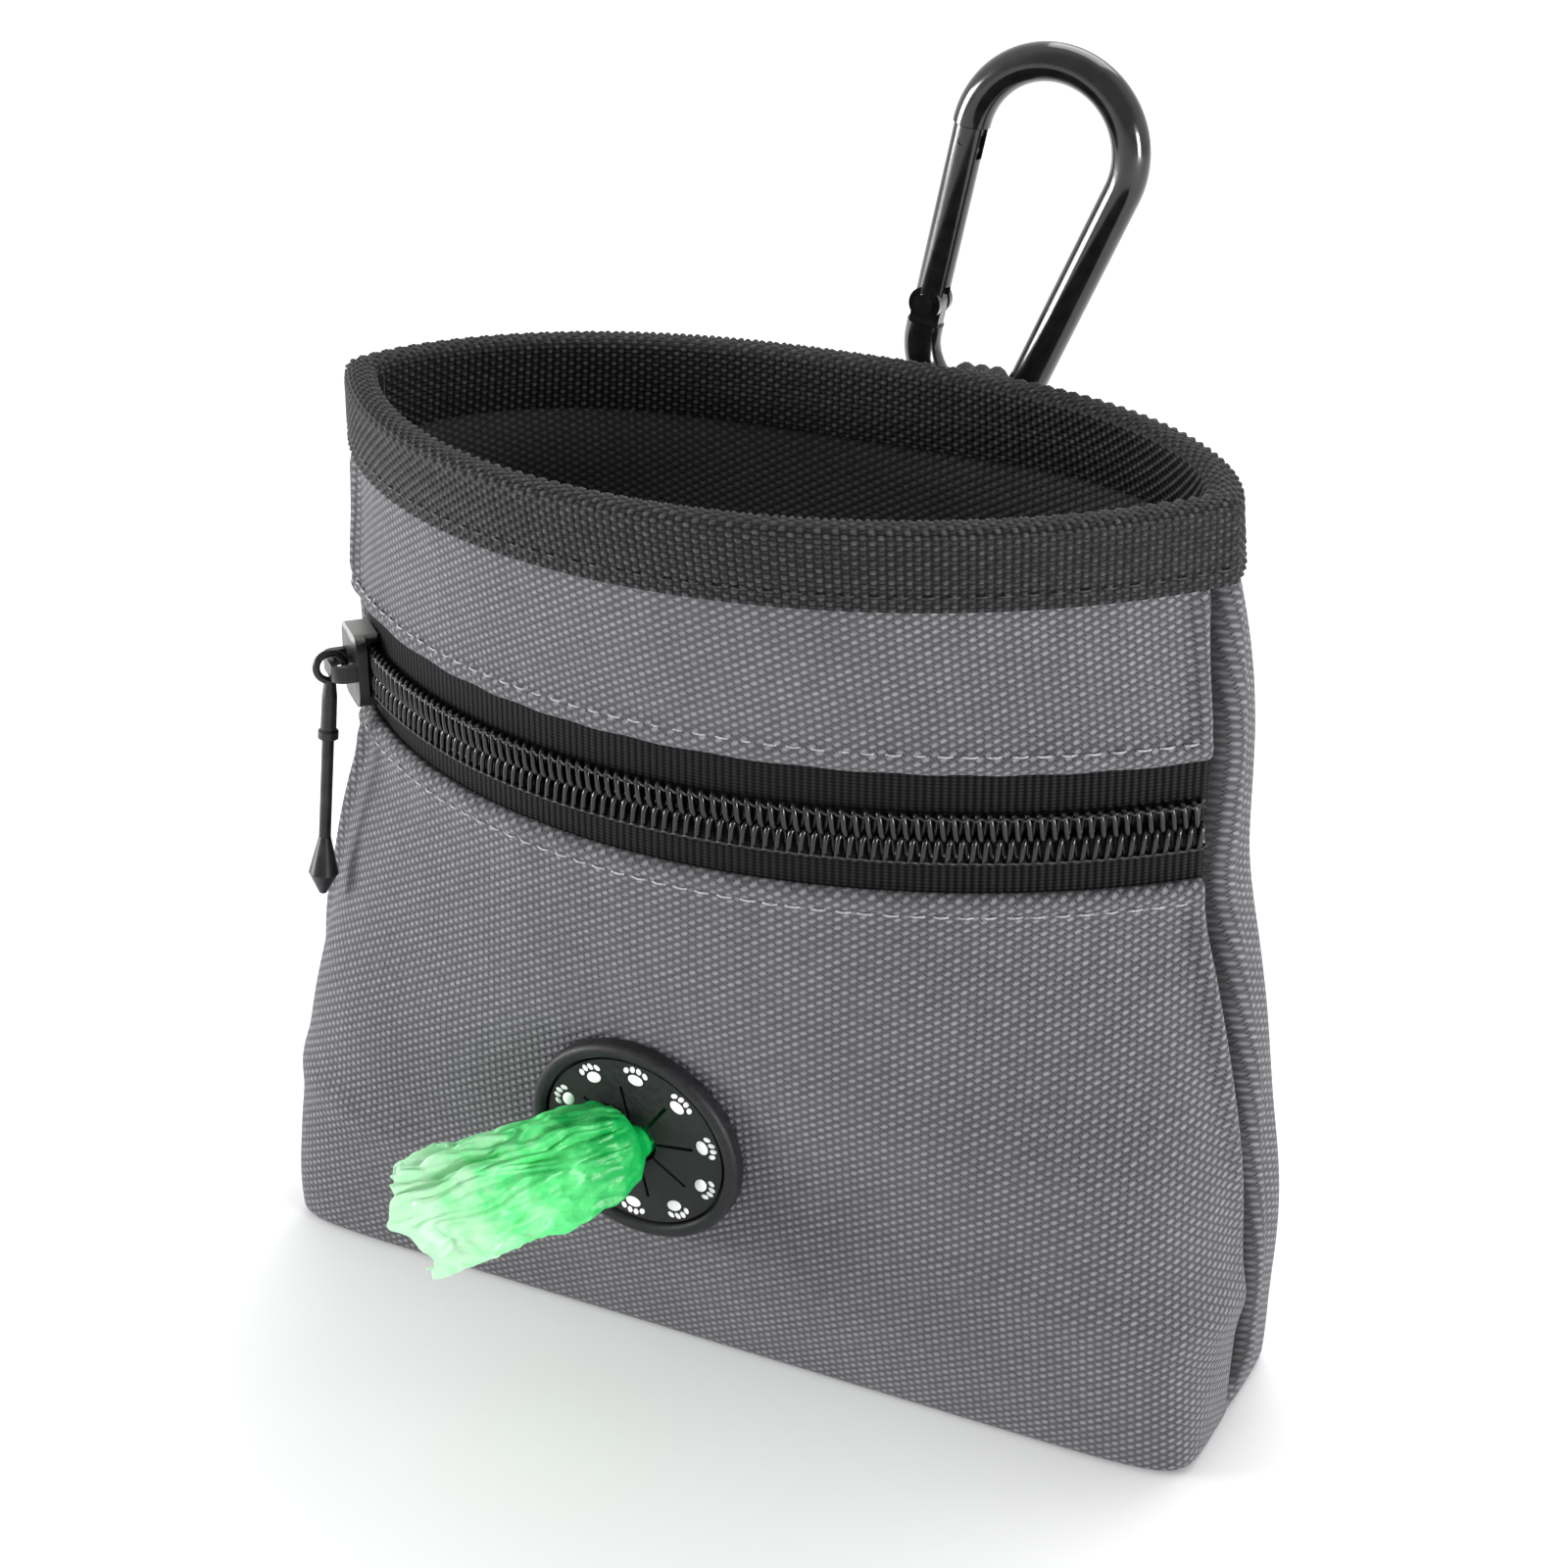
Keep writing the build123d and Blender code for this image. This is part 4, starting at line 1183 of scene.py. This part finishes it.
def make_loop():
    """Webbing that goes up, round the carabiner's low bend and down, gathered at its neck."""
    points = list(LOOP_PATH_LOW)
    for turn in np.linspace(math.pi, 0, 15)[1:-1]:
        y = LOOP_BEND[0] + LOOP_BEND_RADIUS * math.cos(turn)
        points.append((y, LOOP_BEND[1] + LOOP_BEND_RADIUS * math.sin(turn)))
    points += LOOP_PATH_HIGH
    rows = 180
    line, length = resample(np.array(points), rows)
    columns = 64
    across = np.linspace(-1, 1, columns)
    grid = np.zeros((len(line), columns, 3))
    uv = np.zeros((len(line), columns, 2))
    slope = np.gradient(line, axis=0)
    slope /= np.linalg.norm(slope, axis=1, keepdims=True)
    out = np.stack([-slope[:, 1], slope[:, 0]], axis=1)
    for r, (y, z) in enumerate(line):
        open_share = float(smoothstep(108.0, 98.5, z))
        half = 2.7 + 7.1 * open_share
        gather = 0.35 * (1 - open_share)
        fold = gather * np.cos(across * math.pi * 2.5)
        along = r * length / rows
        bead = np.abs(np.sin(math.pi * across * 8)) * np.abs(np.sin(math.pi * along / 1.1))
        lift = fold + 0.1 * bead
        grid[r, :, 0] = LOOP_X + half * across
        grid[r, :, 1] = y + out[r, 0] * lift
        grid[r, :, 2] = z + out[r, 1] * lift
        uv[r, :, 0] = across * 10
        uv[r, :, 1] = along
    normal = np.zeros_like(grid)
    normal[..., 1] = out[:, None, 0]
    normal[..., 2] = out[:, None, 1]
    half_thick = normal * LOOP_THICK / 2
    loop = sheet_object("carabiner_loop_webbing", grid + half_thick, grid - half_thick, uv, None, -1)
    finish_piece(loop, WEBBING, "webbing", "pouch", "carabiner_loop")


make_loop()

# ------------------------------------------------------------------ floor and light

FLOOR_REACH = 4.0
DARK_SIDE = (0.38, -0.86, 0.34)
# Brightness 1.0 up to 0.25 along DARK_SIDE, and 0.45 from 0.8 on
WORLD_FADE = (0.25, 0.8, 1.0, 0.45)
# Name, place, target, size and power of each soft light, in metres and watts
LIGHTS = (
    ("key", (-1.0, -0.45, 0.2), (0, 0, 0.06), (0.5, 0.35), 13.5),
    ("side", (0.95, -0.3, 0.16), (0, 0, 0.06), (0.25, 0.3), 9.0),
    ("top", (0.0, 0.6, 1.0), (0, 0, 0.05), (0.8, 0.8), 7.0),
)


def make_floor():
    """Plain pale flat floor."""
    s = Shader("floor", Roughness=0.9, Specular_IOR_Level=0.1, Base_Color=(0.93, 0.93, 0.935, 1))
    mesh = bpy.data.meshes.new("floor")
    corners = [(x * FLOOR_REACH, y * FLOOR_REACH, 0) for x, y in ((-1, -1), (1, -1), (1, 1), (-1, 1))]
    mesh.from_pydata(corners, [], [(0, 1, 2, 3)])
    floor = bpy.data.objects.new("floor", mesh)
    bpy.context.scene.collection.objects.link(floor)
    mesh.materials.append(s.material)


def area_light(name, place, target, size, power):
    """A rectangular light that faces its target."""
    data = bpy.data.lights.new(name, "AREA")
    data.shape = "RECTANGLE"
    data.size = size[0]
    data.size_y = size[1]
    data.energy = power
    light = bpy.data.objects.new(name, data)
    light.location = place
    light.rotation_mode = "QUATERNION"
    light.rotation_quaternion = (Vector(target) - Vector(place)).to_track_quat("-Z", "Y")
    bpy.context.scene.collection.objects.link(light)


def make_world():
    """White studio all round, darker on the side that the front of the bag faces."""
    world = bpy.data.worlds.new("studio")
    bpy.context.scene.world = world
    world.use_nodes = True
    tree = world.node_tree
    place = tree.nodes.new("ShaderNodeTexCoord")
    dot = tree.nodes.new("ShaderNodeVectorMath")
    dot.operation = "DOT_PRODUCT"
    dot.inputs[1].default_value = DARK_SIDE
    spread = tree.nodes.new("ShaderNodeMapRange")
    spread.interpolation_type = "SMOOTHSTEP"
    for socket, value in zip(list(spread.inputs)[1:5], WORLD_FADE):
        socket.default_value = value
    tree.links.new(place.outputs["Generated"], dot.inputs[0])
    tree.links.new(dot.outputs["Value"], spread.inputs[0])
    tree.links.new(spread.outputs[0], tree.nodes["Background"].inputs[1])
    tree.nodes["Background"].inputs[0].default_value = (1, 1, 1, 1)


make_floor()
make_world()
for light in LIGHTS:
    area_light(*light)

bpy.context.scene.view_settings.view_transform = "Standard"
